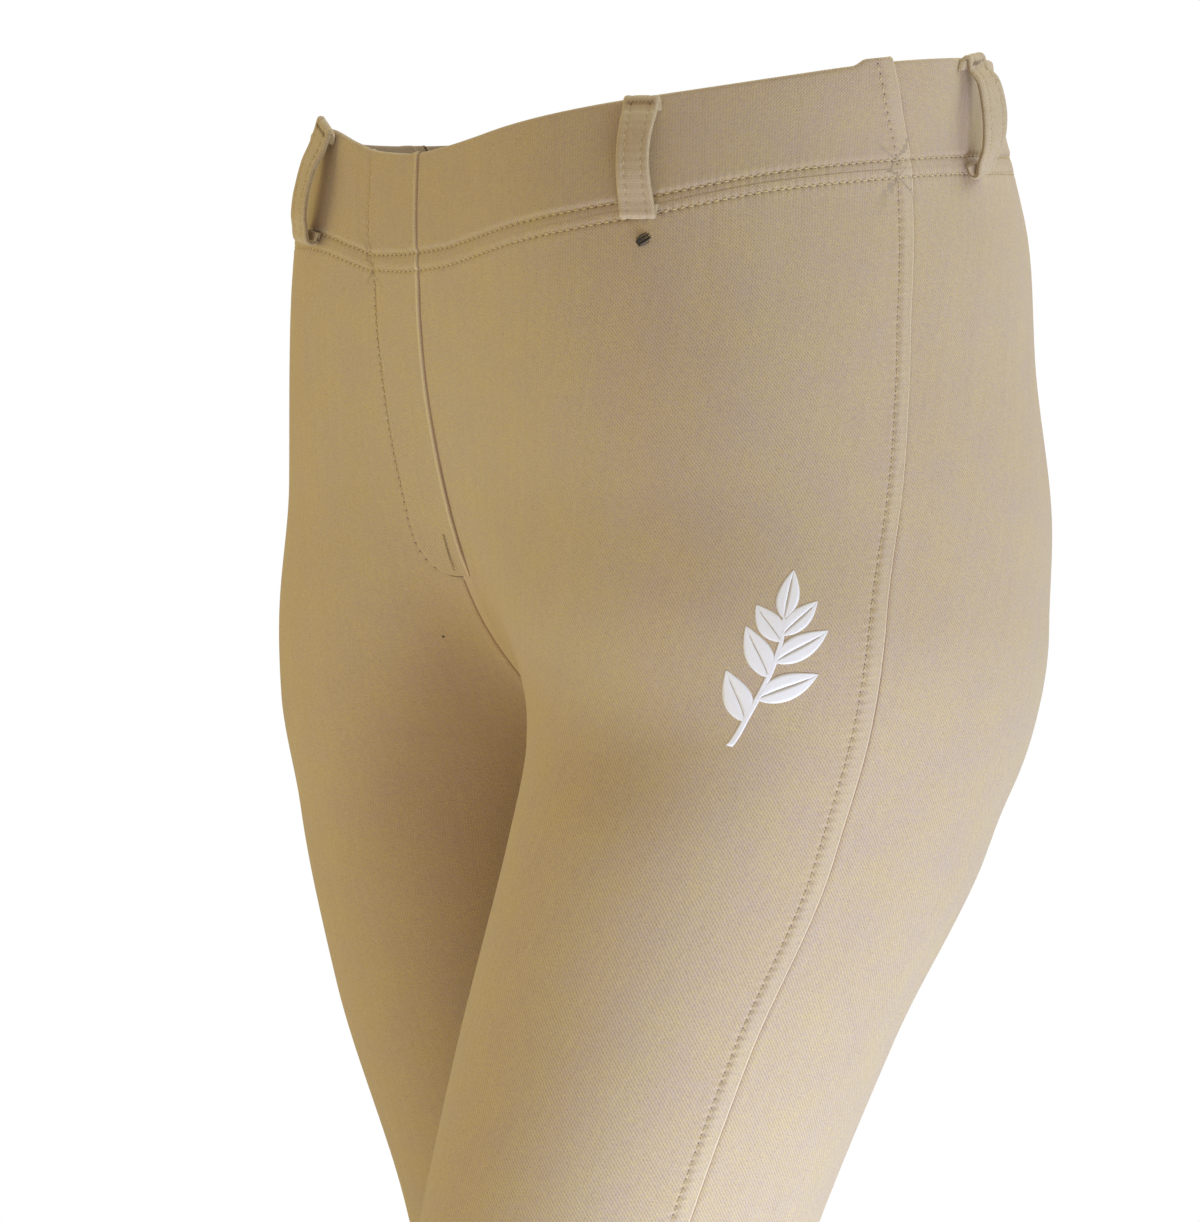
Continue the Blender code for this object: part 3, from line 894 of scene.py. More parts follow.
def shadedInsideMaterial():
    # the back of the knit: duller, with fine cross floats, its colour painted darker and browner for the
    # shade inside the garment
    made, tree = newMaterial("shadedInsideCloth")
    cloth = shared(tree, knitGroup, {
        **clothLook, "Warm": (0.36, 0.26, 0.16, 1), "Cool": (0.34, 0.25, 0.17, 1),
        "Valley shade": (0.24, 0.165, 0.10, 1), "Wales per metre": 700.0, "Courses per metre": 1500.0})
    relief = bump(tree, cloth["Height"], clothLook["Relief"], bumpDepth)
    return finishMaterial(made, {"Base Color": cloth["Colour"], "Normal": relief, "Roughness": 0.95,
                                 "Specular IOR Level": 0.12})


shadedInsideFinish = shadedInsideMaterial()


def threadMaterial(name, colour, endShade, twist):
    # sewing thread: plied, paler on its arch, with painted shade where it enters the cloth and in the grooves
    # between its plies
    made, tree = newMaterial(name)
    _, along, around = mapOf(tree, "cloth")
    ply = maths("SINE", along * twist + around * (2 * math.pi))
    arch = maths("SINE", maths("FRACT", along) * math.pi)
    base = mixColour(tree, maths("MINIMUM", arch * 1.9, 1.0), endShade, colour)
    base = mixColour(tree, (ply + 1.0) * 0.14, base, endShade)
    return finishMaterial(made, {"Base Color": base, "Normal": bump(tree, ply, 0.5, 0.0001),
                                 "Roughness": 0.6, "Specular IOR Level": 0.3, "Sheen Weight": 0.15})


threadFinish = threadMaterial("stitchThread", (0.72, 0.60, 0.34, 1), (0.46, 0.35, 0.22, 1), 14.0)
tackFinish = threadMaterial("tackThread", (0.34, 0.25, 0.15, 1), (0.10, 0.06, 0.045, 1), 9.0)
darkFinish = threadMaterial("darkThread", (0.055, 0.045, 0.042, 1), (0.02, 0.015, 0.015, 1), 9.0)


# ---- stitches

stitch = {
    "length": 2.0, "radius": 0.27, "uneven": 0.10, "lift": 0.44, "sink": 0.22, "sides": 6, "cordSides": 5,
    "rings": np.array([0, 0.14, 0.36, 0.64, 0.86, 1]),
}
sideStitches = {"radius": 0.20, "length": 1.9}
frontStitches = {"radius": 0.19, "length": 1.8}
loopStitches = {"radius": 0.16, "length": 1.7}


def alongPath(points, away, along):
    # a place for each stitch on a line of points, between needle holes half a stitch off whole counts
    pitch = needle["pitch"]
    first, last = math.ceil(along[0] / pitch + 0.3), math.floor(along[-1] / pitch - 0.3)
    places = np.arange(first, last + 1) * pitch
    spot, up = (np.stack([np.interp(places, along, values[:, k]) for k in range(3)], axis=1)
                for values in (points, away))
    return spot, unit(up)


class Threads:
    # gathers many short threads into one mesh
    def __init__(self):
        self.points, self.faces, self.uv, self.count = [], [], [], 0

    def tubes(self, centre, across, over, width, along, sides):
        # closed tubes about rows of centre points, with the length along each thread for its finish
        many, deep = centre.shape[:2]
        phi = np.arange(sides) * 2 * math.pi / sides
        ring = (across[:, :, None] * np.cos(phi)[:, None] + over[:, :, None] * np.sin(phi)[:, None])
        points = centre[:, :, None] + ring * width[:, None, None]
        offsets = self.count + np.arange(many)[:, None] * deep * sides
        first, last = np.arange(sides)[::-1], (deep - 1) * sides + np.arange(sides)
        self.faces += (ringFaces(deep, sides) + offsets[:, None]).reshape(-1, 4).tolist()
        self.faces += (first + offsets).tolist() + (last + offsets).tolist()
        around = np.broadcast_to(phi / (2 * math.pi), (many, deep, sides))
        self.uv.append(flat(np.stack([0 * around + along[:, None], around], axis=-1)))
        self.points.append(flat(points))
        self.count += many * deep * sides

    def row(self, points, away, along, radius=stitch["radius"], length=stitch["length"],
            uneven=stitch["uneven"]):
        # a row of lockstitches along a line, each one bent down into its needle holes
        if along[0] > along[-1]:
            points, away, along = points[::-1], away[::-1], along[::-1]
        spot, up = alongPath(points, away, along)
        ahead = unit(np.gradient(spot, axis=0))
        across = np.cross(ahead, up)
        reach = length * (1 + uneven * random.uniform(-0.6, 0.6, len(spot)))[:, None]
        middle = spot + across * (uneven * random.uniform(-1, 1, (len(spot), 1)))
        half = ahead * reach / 2 + across * (uneven * random.uniform(-1.2, 1.2, (len(spot), 1)))
        run = unit(half)
        across = unit(np.cross(run, up))
        over = unit(np.cross(across, run))
        over = np.where((over * up).sum(1, keepdims=True) < 0, -over, over)
        t = stitch["rings"]
        centre = (middle - half)[:, None] + 2 * half[:, None] * t[:, None]
        arch = stitch["lift"] * np.sin(math.pi * t) - stitch["sink"]
        self.tubes(centre + over[:, None] * arch[:, None], across[:, None], over[:, None],
                   radius * (0.72 + 0.28 * np.sin(math.pi * t)), t * 0.998 + 0.001, stitch["sides"])

    def cord(self, path, up, radius):
        # one continuous thread along a path
        run = unit(np.gradient(path, axis=0))
        across = unit(np.cross(run, np.broadcast_to(up, run.shape)))
        self.tubes(path[None], across[None], np.cross(across, run)[None], np.full(len(path), radius),
                   np.linspace(0.3, 0.7, len(path)), stitch["cordSides"])

    def build(self, name, finish):
        return addMesh(name, np.concatenate(self.points), self.faces, [finish],
                       {"cloth": np.concatenate(self.uv)})


threads = {name: Threads() for name in (
    "waist_stitches", "side_stitches", "hem_stitches", "front_stitches", "loop_stitches", "bar_tacks",
    "loose_threads")}


def grained(across, up, lean=form["grain"]):
    # cloth coordinates in metres, the grain leaning over a little as it does on the body
    lean = math.radians(lean)
    return np.stack([across * math.cos(lean) + up * math.sin(lean),
                     up * math.cos(lean) - across * math.sin(lean)], axis=-1) * metres


def sewnMap(lines):
    # the nearest row of stitches at each point: how many stitches along, and how far off in millimetres
    pairs = np.stack([np.stack(np.broadcast_arrays(along / needle["pitch"], off), axis=-1)
                      for along, off in lines])
    nearest = np.abs(pairs[..., 1]).argmin(axis=0)[None, ..., None]
    return np.take_along_axis(pairs, nearest, axis=0)[0]


# ---- panels

panel = {
    # the columns of a mesh, fine beside the seams, and its rows, fine at the waist seam and the hem
    "widths": {frontFace: 250.0, backFace: 300.0},
    "fineSeam": (0.0, 0.12, 0.3, 0.55, 0.85, 1.2, 1.7, 2.3, 3.0, 3.9, 5.0),
    "fineSide": (0.0, 0.12, 0.3, 0.55, 0.85, 1.3, 2.0, 3.0, 4.2, 5.2, 5.9, 6.3, 6.6, 7.0, 7.4, 7.8, 8.3,
                 9.0, 10.0, 11.6),
    "fineTop": (0.0, 0.2, 0.5, 0.9, 1.4, 1.9, 2.3, 2.7, 3.0, 3.2, 3.5, 3.9, 4.4, 5.0, 5.8, 7.0, 9.0),
    "fineCrotch": (0.0, 0.3, 1.0, 2.2, 4.2),
    "fineHem": (0.0, 0.25, 0.6, 1.1, 1.8, 3.0, 6.0, 9.0, 12.0, 14.2, 15.2, 15.6, 16.0, 17.0, 18.2, 18.8,
                19.2, 20.2, 21.2, 22.5, 25.0),
    # how the rows of the body draw together toward the crotch at their inner and outer ends
    "firstRow": 0.945,
    "innerPower": 1.8,
    "outerPower": 1.1,
    "bowPower": 1.5,
    "bowFade": 0.6,
    # the cloth that the fly lies on sinks this far, and the seams that count as folded edges reach this far
    "underFly": 0.9,
    "seamReach": 6.0,
    "foldReach": 9.0,
    "backFold": 0.2,
}


def panelHeights(top, shares, finer):
    # heights of the rows, closing in on the crotch
    rows = [top[:, 2] - place for place in panel["fineTop"]]
    steps = np.linspace(panel["firstRow"], 0.0, form["bodyRows"])
    if finer:
        steps = withFiner(steps, *fly["fineRows"])[::-1]
    bow = shares ** panel["bowPower"]
    for t in steps:
        inner = crotchZ + (top[0, 2] - crotchZ) * t ** panel["innerPower"]
        outer = crotchZ + (top[-1, 2] - crotchZ) * t ** panel["outerPower"]
        straight = top[0, 2] + (top[-1, 2] - top[0, 2]) * bow
        dip = (top[:, 2] - straight) * max(0, 1 - (1 - t) / panel["bowFade"]) ** 2
        rows.append(inner + (outer - inner) * bow + dip)
    leg = spread(crotchZ - form["ankleHeight"], form["rowStep"], panel["fineCrotch"], panel["fineHem"])
    return np.array(rows + [0 * shares + crotchZ - place for place in leg[1:]])


def sideLine(outer, away, fromSide, along):
    return lineDown(outer, away, fromSide, seams["side"], along / seams["sideStretch"])


def sewSide(line, kept):
    threads["side_stitches"].row(*(values[kept] for values in line), **sideStitches)


def makePanel(name, side, face):
    # one panel: its form, seam profiles, creases, a closed wall of cloth and its rows of stitches
    front, underFly = face == frontFace, name == "front_right"
    width, fine = panel["widths"][face], panel["fineSide" if front else "fineSeam"]
    shares = spread(width, form["columnStep"], panel["fineSeam"], fine) / width
    if underFly:
        shares = withFiner(shares, *fly["finePanel"])
    top = bandGrid(side, face, shares, np.array([0.0]))[0]
    z = panelHeights(top, shares, underFly)
    points = onPanel(side, face, np.broadcast_to(shares, z.shape), z)
    points[0] = top
    away = normalsAt(points)
    across, fromTop = alongRows(points), alongColumns(points)
    fromSide, fromHem = across[:, -1:] - across, fromTop[-1:] - fromTop
    height = creaseHeight(name, np.broadcast_to(shares, z.shape), across[:, -1:], z) + twinBelow(fromTop)
    height = height + (sideFront(fromSide) if front else sideBack(fromSide))
    height = height + centreSeam(across) + hemProfile(fromHem)
    sewn = [(across, fromTop - seams["twin"])] + [(across, fromHem - row) for row in seams["hemRows"]]
    folds = -fromSide - panel["backFold"]
    level = points[..., 2]
    if front:
        sewn.append((fromTop / seams["sideStretch"], fromSide - seams["side"]))
        # the centre front and inner leg seams below the fly
        nearSeam = (across < panel["seamReach"]) & (level < fly["end"] - 1)
        folds = np.where(nearSeam, side * across, fromSide)
    if underFly:
        off = flyDistance(points)
        height = height + stitchGroove(off, 0.9) - panel["underFly"] * smooth(-off / 2)
        sewn.append((-z, off))
    if name == "front_left":
        # the fly's folded edge lies on this panel
        onFold = (np.abs(fromFold(points)) < panel["foldReach"]) & (level > fly["end"] + 1)
        folds = np.where(onFold, np.minimum(fromFold(points), 0.0), folds)
    wall = form["wall"] + (form["hemWall"] - form["wall"]) * smooth((form["hemDepth"] - fromHem) / 1.5)
    edge = roundOver(fromHem, seams["hemRound"])
    outer = trimmed(points) + away * (height + edge)[..., None]
    inner = trimmed(points) + away * (np.minimum(height, 0.0) - wall - edge)[..., None]
    uv = grained(-side * face * fromSide, -np.interp(-z, -z[:, -1], fromTop[:, -1]))
    made = addShell(name, outer, inner, uv, sewnMap(sewn), [knitFinish, shadedInsideFinish], folds, 1.0)
    print(name, outer.shape, "rows and columns")
    # below the waist seam, round the hem and beside the side seam
    threads["waist_stitches"].row(*lineAt(outer, away, fromTop, seams["twin"], across))
    for row in seams["hemRows"]:
        threads["hem_stitches"].row(*lineAt(outer[::-1], away[::-1], fromHem[::-1], row, across[::-1]))
    if front:
        line = sideLine(outer, away, fromSide, fromTop)
        sewSide(line, line[2] > 4.0)
    return made


panelPieces = {}
for side, word in sideWords.items():
    for face, kind in ((frontFace, "front"), (backFace, "back")):
        name = f"{kind}_{word}"
        panelPieces[name] = makePanel(name, side, face)
print("panels made")


# ---- waistband

band = {
    "height": 40.0,
    "widths": {frontFace: 226.0, backFace: 206.0},
    "fineSide": (0.0, 0.12, 0.3, 0.55, 0.85, 1.3, 2.0, 3.0, 4.0, 5.0, 5.8, 6.2, 6.6, 7.0, 7.4, 8.0, 9.0),
    "fineSeam": (0.0, 0.2, 0.5, 0.9, 1.4, 1.9, 2.3, 2.7, 3.0, 3.2, 3.5, 3.9, 4.4, 5.0, 5.8, 7.0),
    "fineTop": (0.0, 0.04, 0.14, 0.32, 0.6, 1.0, 1.5, 2.4, 4.0),
    # the turned allowance lifts the top edge by the side seam
    "seamBump": {leftSide: 1.9, rightSide: 0.3},
    "bumpReach": (15.0, 5.0, 16.0),
    "underLap": 1.0,
    "stitched": (12.0, 1.6),
    "backGrain": 5.0,
}
bandRises = spread(band["height"], form["bandRowStep"], band["fineSeam"], band["fineTop"]) / band["height"]


def bandPoints(side, face):
    # a quarter of the waistband, rows from the seam up, its side seam at the last column
    width = band["widths"][face]
    fine = panel["fineSeam"] if face == frontFace else (0.0,)
    return bandGrid(side, face, spread(width, form["bandStep"], fine, band["fineSide"]) / width, bandRises)


def raisedTop(points, fromTop, fromSide, amount):
    # the top edge lifts a little over the side seam's allowance
    start, fade, depth = band["bumpReach"]
    moved = points.copy()
    moved[..., 2] += amount * smooth((start - fromSide) / fade) * smooth(1 - fromTop / depth)
    return moved


def addBand(name, points, moved, height, sewn, folds, uv, beside=0.0):
    # the doubled cloth, closing round its folded top edge, and its row of stitches at the waist seam
    away = normalsAt(points)
    fromSeam, across = alongColumns(points), alongRows(points)
    half = form["bandWall"] / 2
    ring = half * rounding(fromSeam[-1:] - fromSeam, half)
    outer, inner = (moved + away * (height - half + way * ring)[..., None] for way in (1, -1))
    sewn = sewnMap([(across, fromSeam - seams["twin"])] + sewn)
    made = addShell(name, outer, inner, uv, sewn, [bandFinish, shadedInsideFinish], folds, beside)
    threads["waist_stitches"].row(*lineAt(outer, away, fromSeam, seams["twin"], across))
    return made, outer, away


def makeFrontBand(name, side):
    points = bandPoints(side, frontFace)
    fromSeam, across = alongColumns(points), alongRows(points)
    fromTop, fromSide = fromSeam[-1:] - fromSeam, across[:, -1:] - across
    height = twinAbove(fromSeam) + sideFront(fromSide)
    sewn = [(fromSeam / seams["sideStretch"], fromSide - seams["side"])]
    if side == rightSide:
        # let down under the lap, with the lap's row of stitches in a groove
        off = -points[..., 0] - fly["straightEdge"](points[..., 2])[..., 0]
        height = height + stitchGroove(off, 0.9) - band["underLap"] * smooth(-off / 2)
        sewn.append((fromSeam, off))
        folds = fromSide
    else:
        onFold = np.abs(fromFold(points)) < panel["foldReach"]
        folds = np.where(onFold, np.minimum(fromFold(points), 0.0), fromSide)
    moved = raisedTop(trimmed(points), fromTop, fromSide, band["seamBump"][side])
    uv = grained(side * across, fromSeam)
    made, outer, away = addBand(name, points, moved, height, sewn, folds, uv, 1.0)
    low, high = band["stitched"]
    sewSide(sideLine(outer, away, fromSide, fromSeam), (fromSeam[:, -1] > low) & (fromTop[:, -1] > high))
    return made


def makeBackBand(name):
    # one band from side seam to side seam across the back
    left, right = (bandPoints(side, backFace) for side in (leftSide, rightSide))
    points = np.concatenate([left[:, ::-1], right[:, 1:]], axis=1)
    fromSeam, across = alongColumns(points), alongRows(points)
    fromEnds = np.minimum(across, across[:, -1:] - across)
    return addBand(name, points, trimmed(points), twinAbove(fromSeam) + sideBack(fromEnds), [],
                   -fromEnds - panel["backFold"], grained(-across, fromSeam, band["backGrain"]))[0]


bandPieces = {f"waistband_front_{word}": makeFrontBand(f"waistband_front_{word}", side)
              for side, word in sideWords.items()}
bandPieces["waistband_back"] = makeBackBand("waistband_back")
print("waistband made")


# ---- fly and the lap of the waistband

flap = {
    "groove": 0.9,
    "rise": (1.4, 3.4),      # where a strip starts to rise from its stitches, and over how far
    "sink": 0.8,             # how far its stitched edge runs into the panel
    "edge": 0.30,
    "thinnest": 0.22,
    "under": 0.05,
    "gap": 0.16,             # how far the fly's fold stands off lower down
    "gapFrom": (0.2, 0.5),
    "endFade": 9.0,
    "endHeight": 0.35,
    "lean": (26.0, 1.6),     # the fly's rows tilt with the waist seam away from the fold
    "foldShare": 0.55,
    "lapRise": (0.25, 6.0),
    "lapWall": 0.25,
}


def flapShares(width):
    return spread(width, fly["columnStep"], fly["fineFold"], fly["fineStitches"]) / width


def flapHeights(across, width, lift, gap=0.0):
    # outer and inner heights of a strip: its folded edge rounds down to the cloth under it, standing off by
    # the gap, and it runs into the panel at its stitches
    fromStitch, stitchIn = width - across, fly["stitchIn"]
    start, reach = flap["rise"]
    top = stitchGroove(fromStitch - stitchIn, flap["groove"]) + lift * smooth((fromStitch - start) / reach)
    top = top - flap["sink"] * smooth((stitchIn - fromStitch) / stitchIn)
    outer = top + (lift - gap - flap["edge"]) * (rounding(across, fly["foldRound"]) - 1)
    return outer, np.minimum(top - fly["cloth"], outer - flap["thinnest"])


def addFlap(name, outer, inner, away, across, down, along, uv, finish):
    # a strip's closed wall and its row of stitches at the waist seam
    rows = [(across, down - seams["twin"]), (along, across[:, -1:] - across - fly["stitchIn"])]
    made = addShell(name, outer, inner, uv, sewnMap(rows), [finish, finish], across * flap["foldShare"])
    threads["waist_stitches"].row(*lineAt(outer, away, down, seams["twin"], across))
    return made


def makeFly():
    # rows from the waist seam down to the rounded end
    length = fly["length"]
    places = [spread(length, fly["rowStep"], panel["fineTop"])[:-8] / length, 1 - fly["endRows"]]
    places = np.unique(np.round(np.concatenate(places), 5))
    t, share = np.meshgrid(places, flapShares(fly["width"]), indexing="ij")
    seamZ = float(waistHeight(fly["seamTurn"])[0])
    z = seamZ + (fly["end"] - seamZ) * t
    foldX = fly["foldEdge"](z)[..., 0]
    points = frontPoint(foldX + (flyStitchX(z) - fly["stitchIn"] - foldX) * share, z)
    reach, lean = flap["lean"]
    points[..., 2] += (1 - t) * (1 - smooth((points[..., 0] + reach) / reach)) * lean
    away, across, down = normalsAt(points), alongRows(points), alongColumns(points)
    start, over = flap["gapFrom"]
    gap = flap["gap"] * smooth((t - start) / over)
    out, into = flapHeights(across, across[:, -1:], fly["lift"] + gap, gap)
    fade = flap["endHeight"] + (1 - flap["endHeight"]) * smooth((1.0 - t) * length / flap["endFade"])
    twin = twinBelow(down)
    kept = trimmed(points, topOnly=True)
    outer = kept + away * (out * fade + twin)[..., None]
    inner = kept + away * (into * fade + twin - flap["under"])[..., None]
    uv = np.stack([-across - 100, -down], axis=-1) * metres
    return addFlap("fly_placket", outer, inner, away, across, down, -points[..., 2], uv, knitFinish)


flyPiece = makeFly()


def sewFly():
    # the curved row that holds the fly, from the waist seam to the end of the fly
    start, heel, power = fly["curveStart"], fly["heelWidth"], 2 / fly["curvePower"]
    angles = np.linspace(0, math.pi / 2, 40)[1:]
    top = np.linspace(fly["stitchTop"], start, 60)
    z = np.concatenate([top, start - (start - fly["end"]) * np.sin(angles) ** power])
    curved = -(heel + (fly["curveWidth"] - heel) * np.cos(angles) ** power)
    points = frontPoint(np.concatenate([flyStitchX(top), curved]), z)
    away = normalsAt(points)
    points = points - away * fly["stitchSink"]
    threads["front_stitches"].row(points, away, -z, uneven=0.12, **frontStitches)


sewFly()


def makeLap():
    # the same lap carried up through the waistband
    rise, share = np.meshgrid(bandRises, flapShares(fly["lapWidth"]), indexing="ij")
    z = -30.0 + 0 * rise
    for _ in range(6):
        foldX, stitchX = fly["foldEdge"](z)[..., 0], -fly["straightEdge"](z)[..., 0] - fly["stitchIn"]
        points = frontPoint(foldX + (stitchX - foldX) * share, z)
        z = bandHeight(rightSide, bodyTurn(points), rise)
    away, across, up = normalsAt(points), alongRows(points), alongColumns(points)
    fromTop, fromStitch = up[-1:] - up, across[:, -1:] - across
    out, into = flapHeights(across, across[:, -1:], fly["lapLift"])
    base, edge = twinAbove(up), roundOver(fromTop, fly["foldRound"])
    kept = trimmed(points, topOnly=True)
    amount, depth = flap["lapRise"]
    kept[..., 2] += amount * smooth(1 - fromTop / depth)
    outer = kept + away * (out + base + edge)[..., None]
    inner = kept + away * np.minimum(into + base, out + base + edge - flap["lapWall"])[..., None]
    uv = np.stack([-across - 60, up], axis=-1) * metres
    made = addFlap("waistband_lap", outer, inner, away, across, up, up, uv, bandFinish)
    line = lineDown(outer, away, fromStitch, fly["stitchIn"], up)
    threads["front_stitches"].row(*(values[3:-4] for values in line), **frontStitches)
    return made


lapPiece = makeLap()
print("fly and lap made")


# ---- belt loops

loops = {
    "width": 13.0,
    "cloth": 2.1,
    "seat": 0.75,            # how far off the body's surface the strip's underside lies
    "stitchIn": 3.2,
    "channel": 0.22,         # how deep its two rows of stitches lie
    "samples": 84,           # rows of the mesh, two thirds of them in the turned ends
    "turnedEnd": 13.0,
    "columns": 26,
    "edgePower": 0.75,       # draws the columns together toward the edges
    "edgeRound": 0.62,
    "bellyAt": (0.24, 0.37, 0.5, 0.64, 0.78),
    "layerStep": 0.94,
    # its turned ends, each in the order of the strip: how far in from the end, under (0) or over (1) layer,
    # height above that layer's middle, and share of the stand-off
    "footTurn": [(5.6, 0, 0.1, 0), (3.6, 0, 0.05, 0), (1.9, 0, 0.2, 0), (1.05, 0, 0.95, 0.3),
                 (1.7, 1, -0.15, 0.7), (3.6, 1, 0, 1), (5.8, 1, 0.6, 1)],
    "headTurn": [(5.4, 1, 0.35, 0), (3.2, 1, 0, 0), (1.6, 1, -0.2, 0), (1.0, 0, 0.9, 0), (1.9, 0, 0.2, 0),
                 (3.6, 0, 0.05, 0), (5.2, 0, 0.1, 0)],
    "wander": (0.2, 7.0),    # its edges wave a little
    "swingPower": 1.2,
    "earReach": 6.0,
    "slantFrom": (0.45, 0.5),
    "stitched": (9.0, 8.5),  # how far its rows of stitches start from either end
    "tack": {"points": 15, "reach": 0.75, "in": 3.2, "radius": 0.16, "below": 3.4, "lift": 0.02},
}
# the turns of its foot and head about the body, and how far they lie under the waist seam and the top;
# its greatest bow, and shares of it from foot to head; its width at the middle; how its middle swings aside
# and twists toward the front; how far its foot stands off and its turned ends stick out; its head's slant
loopsSewn = {
    "front_left": (leftSide, (52.0, 52.3), (5.0, 0.4), 7.0, (0.74, 0.95, 1.0, 0.92, 0.66), 0.91,
                   (-1.4, 0.0), 0.8, (1.1, 0.8), 0.0),
    "front_right": (rightSide, (31.5, 28.4), (2.0, -2.2), 6.6, (1.0, 1.06, 1.0, 0.86, 0.52), 0.96,
                    (0.6, 0.0), 2.4, (1.1, 0.2), 0.40),
    "back_left": (leftSide, (107.5, 103.2), (4.2, -1.6), 7.7, (0.80, 0.95, 1.0, 0.94, 0.76), 0.96,
                  (0.6, 0.28), 1.2, (-2.0, -3.6), 0.10),
    "back_right": (rightSide, (110.0, 107.0), (4.0, 5.4), 8.0, (0.68, 0.93, 1.0, 0.92, 0.64), 0.95,
                   (-0.6, 0.0), 0.5, (0.8, 0.8), 0.0),
}


def bodyPoint(side, turn, rise, below):
    z = float(bandHeight(side, np.array(turn), rise)) - below
    middle = float(halves[leftSide](z)[1])
    dx, dy = side * math.sin(math.radians(turn)), -math.cos(math.radians(turn))
    reach = float(root(20.0, 250.0, lambda r: outside(r * dx, middle + r * dy, z)))
    return np.array([reach * dx, middle + reach * dy, z])


def loopPath(length, bow, belly, standOff):
    # centre line of the strip: both ends turned under and sewn down, the middle bowed off the band
    low = loops["cloth"] / 2
    layers = low, low + loops["cloth"] * loops["layerStep"]
    foot, head = ([(inward, layers[layer] + rise + share * standOff) for inward, layer, rise, share in turn]
                  for turn in (loops["footTurn"], loops["headTurn"]))
    middle = [(length * share, low + part * bow) for share, part in zip(loops["bellyAt"], belly)]
    marks = np.array(foot + middle + [(length - inward, height) for inward, height in head])
    knots = np.concatenate([[0], np.cumsum(np.linalg.norm(np.diff(marks, axis=0), axis=1) ** 0.5)])
    fine = Curve(np.column_stack([knots, marks]))(np.linspace(0, knots[-1], 700))
    for _ in range(24):
        fine[1:-1] = (fine[:-2] + 2 * fine[1:-1] + fine[2:]) / 4
    run = np.concatenate([[0], np.cumsum(np.linalg.norm(np.diff(fine, axis=0), axis=1))])
    each, turnedEnd = loops["samples"] // 3, loops["turnedEnd"]
    ends = np.linspace(0, turnedEnd, each)
    middle = np.linspace(turnedEnd, run[-1] - turnedEnd, loops["samples"] - 2 * each + 2)[1:-1]
    places = np.concatenate([ends, middle, run[-1] - ends[::-1]])
    return np.column_stack([np.interp(places, run, fine[:, k]) for k in range(2)]), places


def loopSection():
    # a folded strip across: round edges, and two shallow channels where it is sewn
    half, cloth, columns = loops["width"] / 2, loops["cloth"], loops["columns"]
    t = np.linspace(-1, 1, columns)
    x = half * np.sign(t) * np.abs(t) ** loops["edgePower"]
    x = np.concatenate([x, x[::-1]])
    thick = cloth / 2 * rounding(half - np.abs(x), cloth * loops["edgeRound"])
    channel = loops["channel"] * bell(np.abs(x) - (half - loops["stitchIn"]), 0.6)
    up = np.repeat([1, -1], columns)
    return np.column_stack([x, up * (thick - np.where(up > 0, channel, 0.3 * channel))])


def loopFaces(deep, around):
    # a tube's faces, with both ends closed across the strip
    faces = ringFaces(deep, around).tolist()
    for base, order in ((0, 1), ((deep - 1) * around, -1)):
        for j in range(around // 2 - 1):
            cap = [base + j, base + around - 1 - j, base + around - 2 - j, base + j + 1]
            faces.append(cap[::order])
    return faces


class LoopPlace:
    # where a belt loop is sewn: its foot, and the ways up to its head, away from the cloth and sideways
    def __init__(self, side, turns, lower):
        self.foot, head = (bodyPoint(side, turns[rise], float(rise), lower[rise]) for rise in (0, 1))
        self.length = float(np.linalg.norm(head - self.foot))
        self.up = unit(head - self.foot)
        away = normalsAt((self.foot + head) / 2)
        self.away = unit(away - self.up * np.dot(away, self.up))
        self.sideways = np.cross(self.up, self.away)

    def at(self, along, off, across):
        off = loops["seat"] + off
        return (self.foot + self.up * along[..., None] + self.away * off[..., None]
                + self.sideways * across[..., None])


def makeLoop(name, side, turns, lower, bow, belly, taper, lean, standOff, ears, slant):
    swing, twist = lean
    sewnAt = LoopPlace(side, turns, lower)
    path, places = loopPath(sewnAt.length, bow, belly, standOff)
    run, section = places[-1], loopSection()
    tangent = unit(np.gradient(path, axis=0))
    normal = np.column_stack([-tangent[:, 1], tangent[:, 0]])
    share = path[:, 0] / sewnAt.length
    arch = np.sin(np.pi * np.clip(share, 0, 1))
    narrow = 1 - (1 - taper) * arch ** 2
    (size, waves), reach, (start, over) = (loops[key] for key in ("wander", "earReach", "slantFrom"))
    wander = size * np.sin(share * waves + turns[0]) + swing * arch ** loops["swingPower"]
    wander = wander + ears[0] * smooth(1 - places / reach) + ears[1] * smooth(1 - (run - places) / reach)
    across = section[None, :, 0] * narrow[:, None] + wander[:, None]
    along, off = (path[:, None, k] + normal[:, None, k] * section[None, :, 1] for k in range(2))
    off = off + across * side * (twist * arch)[:, None]
    along = along - slant * across * smooth((share - start) / over)[:, None]
    columns, rows = section[None, :, 0] + 0 * along, places[:, None] + 0 * along
    stitchLine = loops["width"] / 2 - loops["stitchIn"]
    maps = {"cloth": np.stack([rows, columns + 300], axis=-1) * metres,
            "sewn": np.stack([rows / needle["pitch"], np.abs(np.abs(columns) - stitchLine)], axis=-1)}
    made = addMesh("belt_loop_" + name + "_cloth", flat(sewnAt.at(along, off, across)), loopFaces(*off.shape),
                   [loopFinish], {layer: flat(values) for layer, values in maps.items()})
    # its two rows of stitches
    shown = (places > loops["stitched"][0]) & (places < run - loops["stitched"][1])
    sewnAway = normal[:, :1] * sewnAt.up + normal[:, 1:] * sewnAt.away
    top = path + normal * (loops["cloth"] / 2 - loops["channel"])
    for edge in (-1, 1):
        beside = edge * stitchLine * narrow + wander
        line = sewnAt.at(top[:, 0], top[:, 1] + beside * side * twist * arch, beside)
        threads["loop_stitches"].row(line[shown], sewnAway[shown], places[shown], **loopStitches)
    tackLoop(sewnAt, path, slant)
    return made, sewnAt


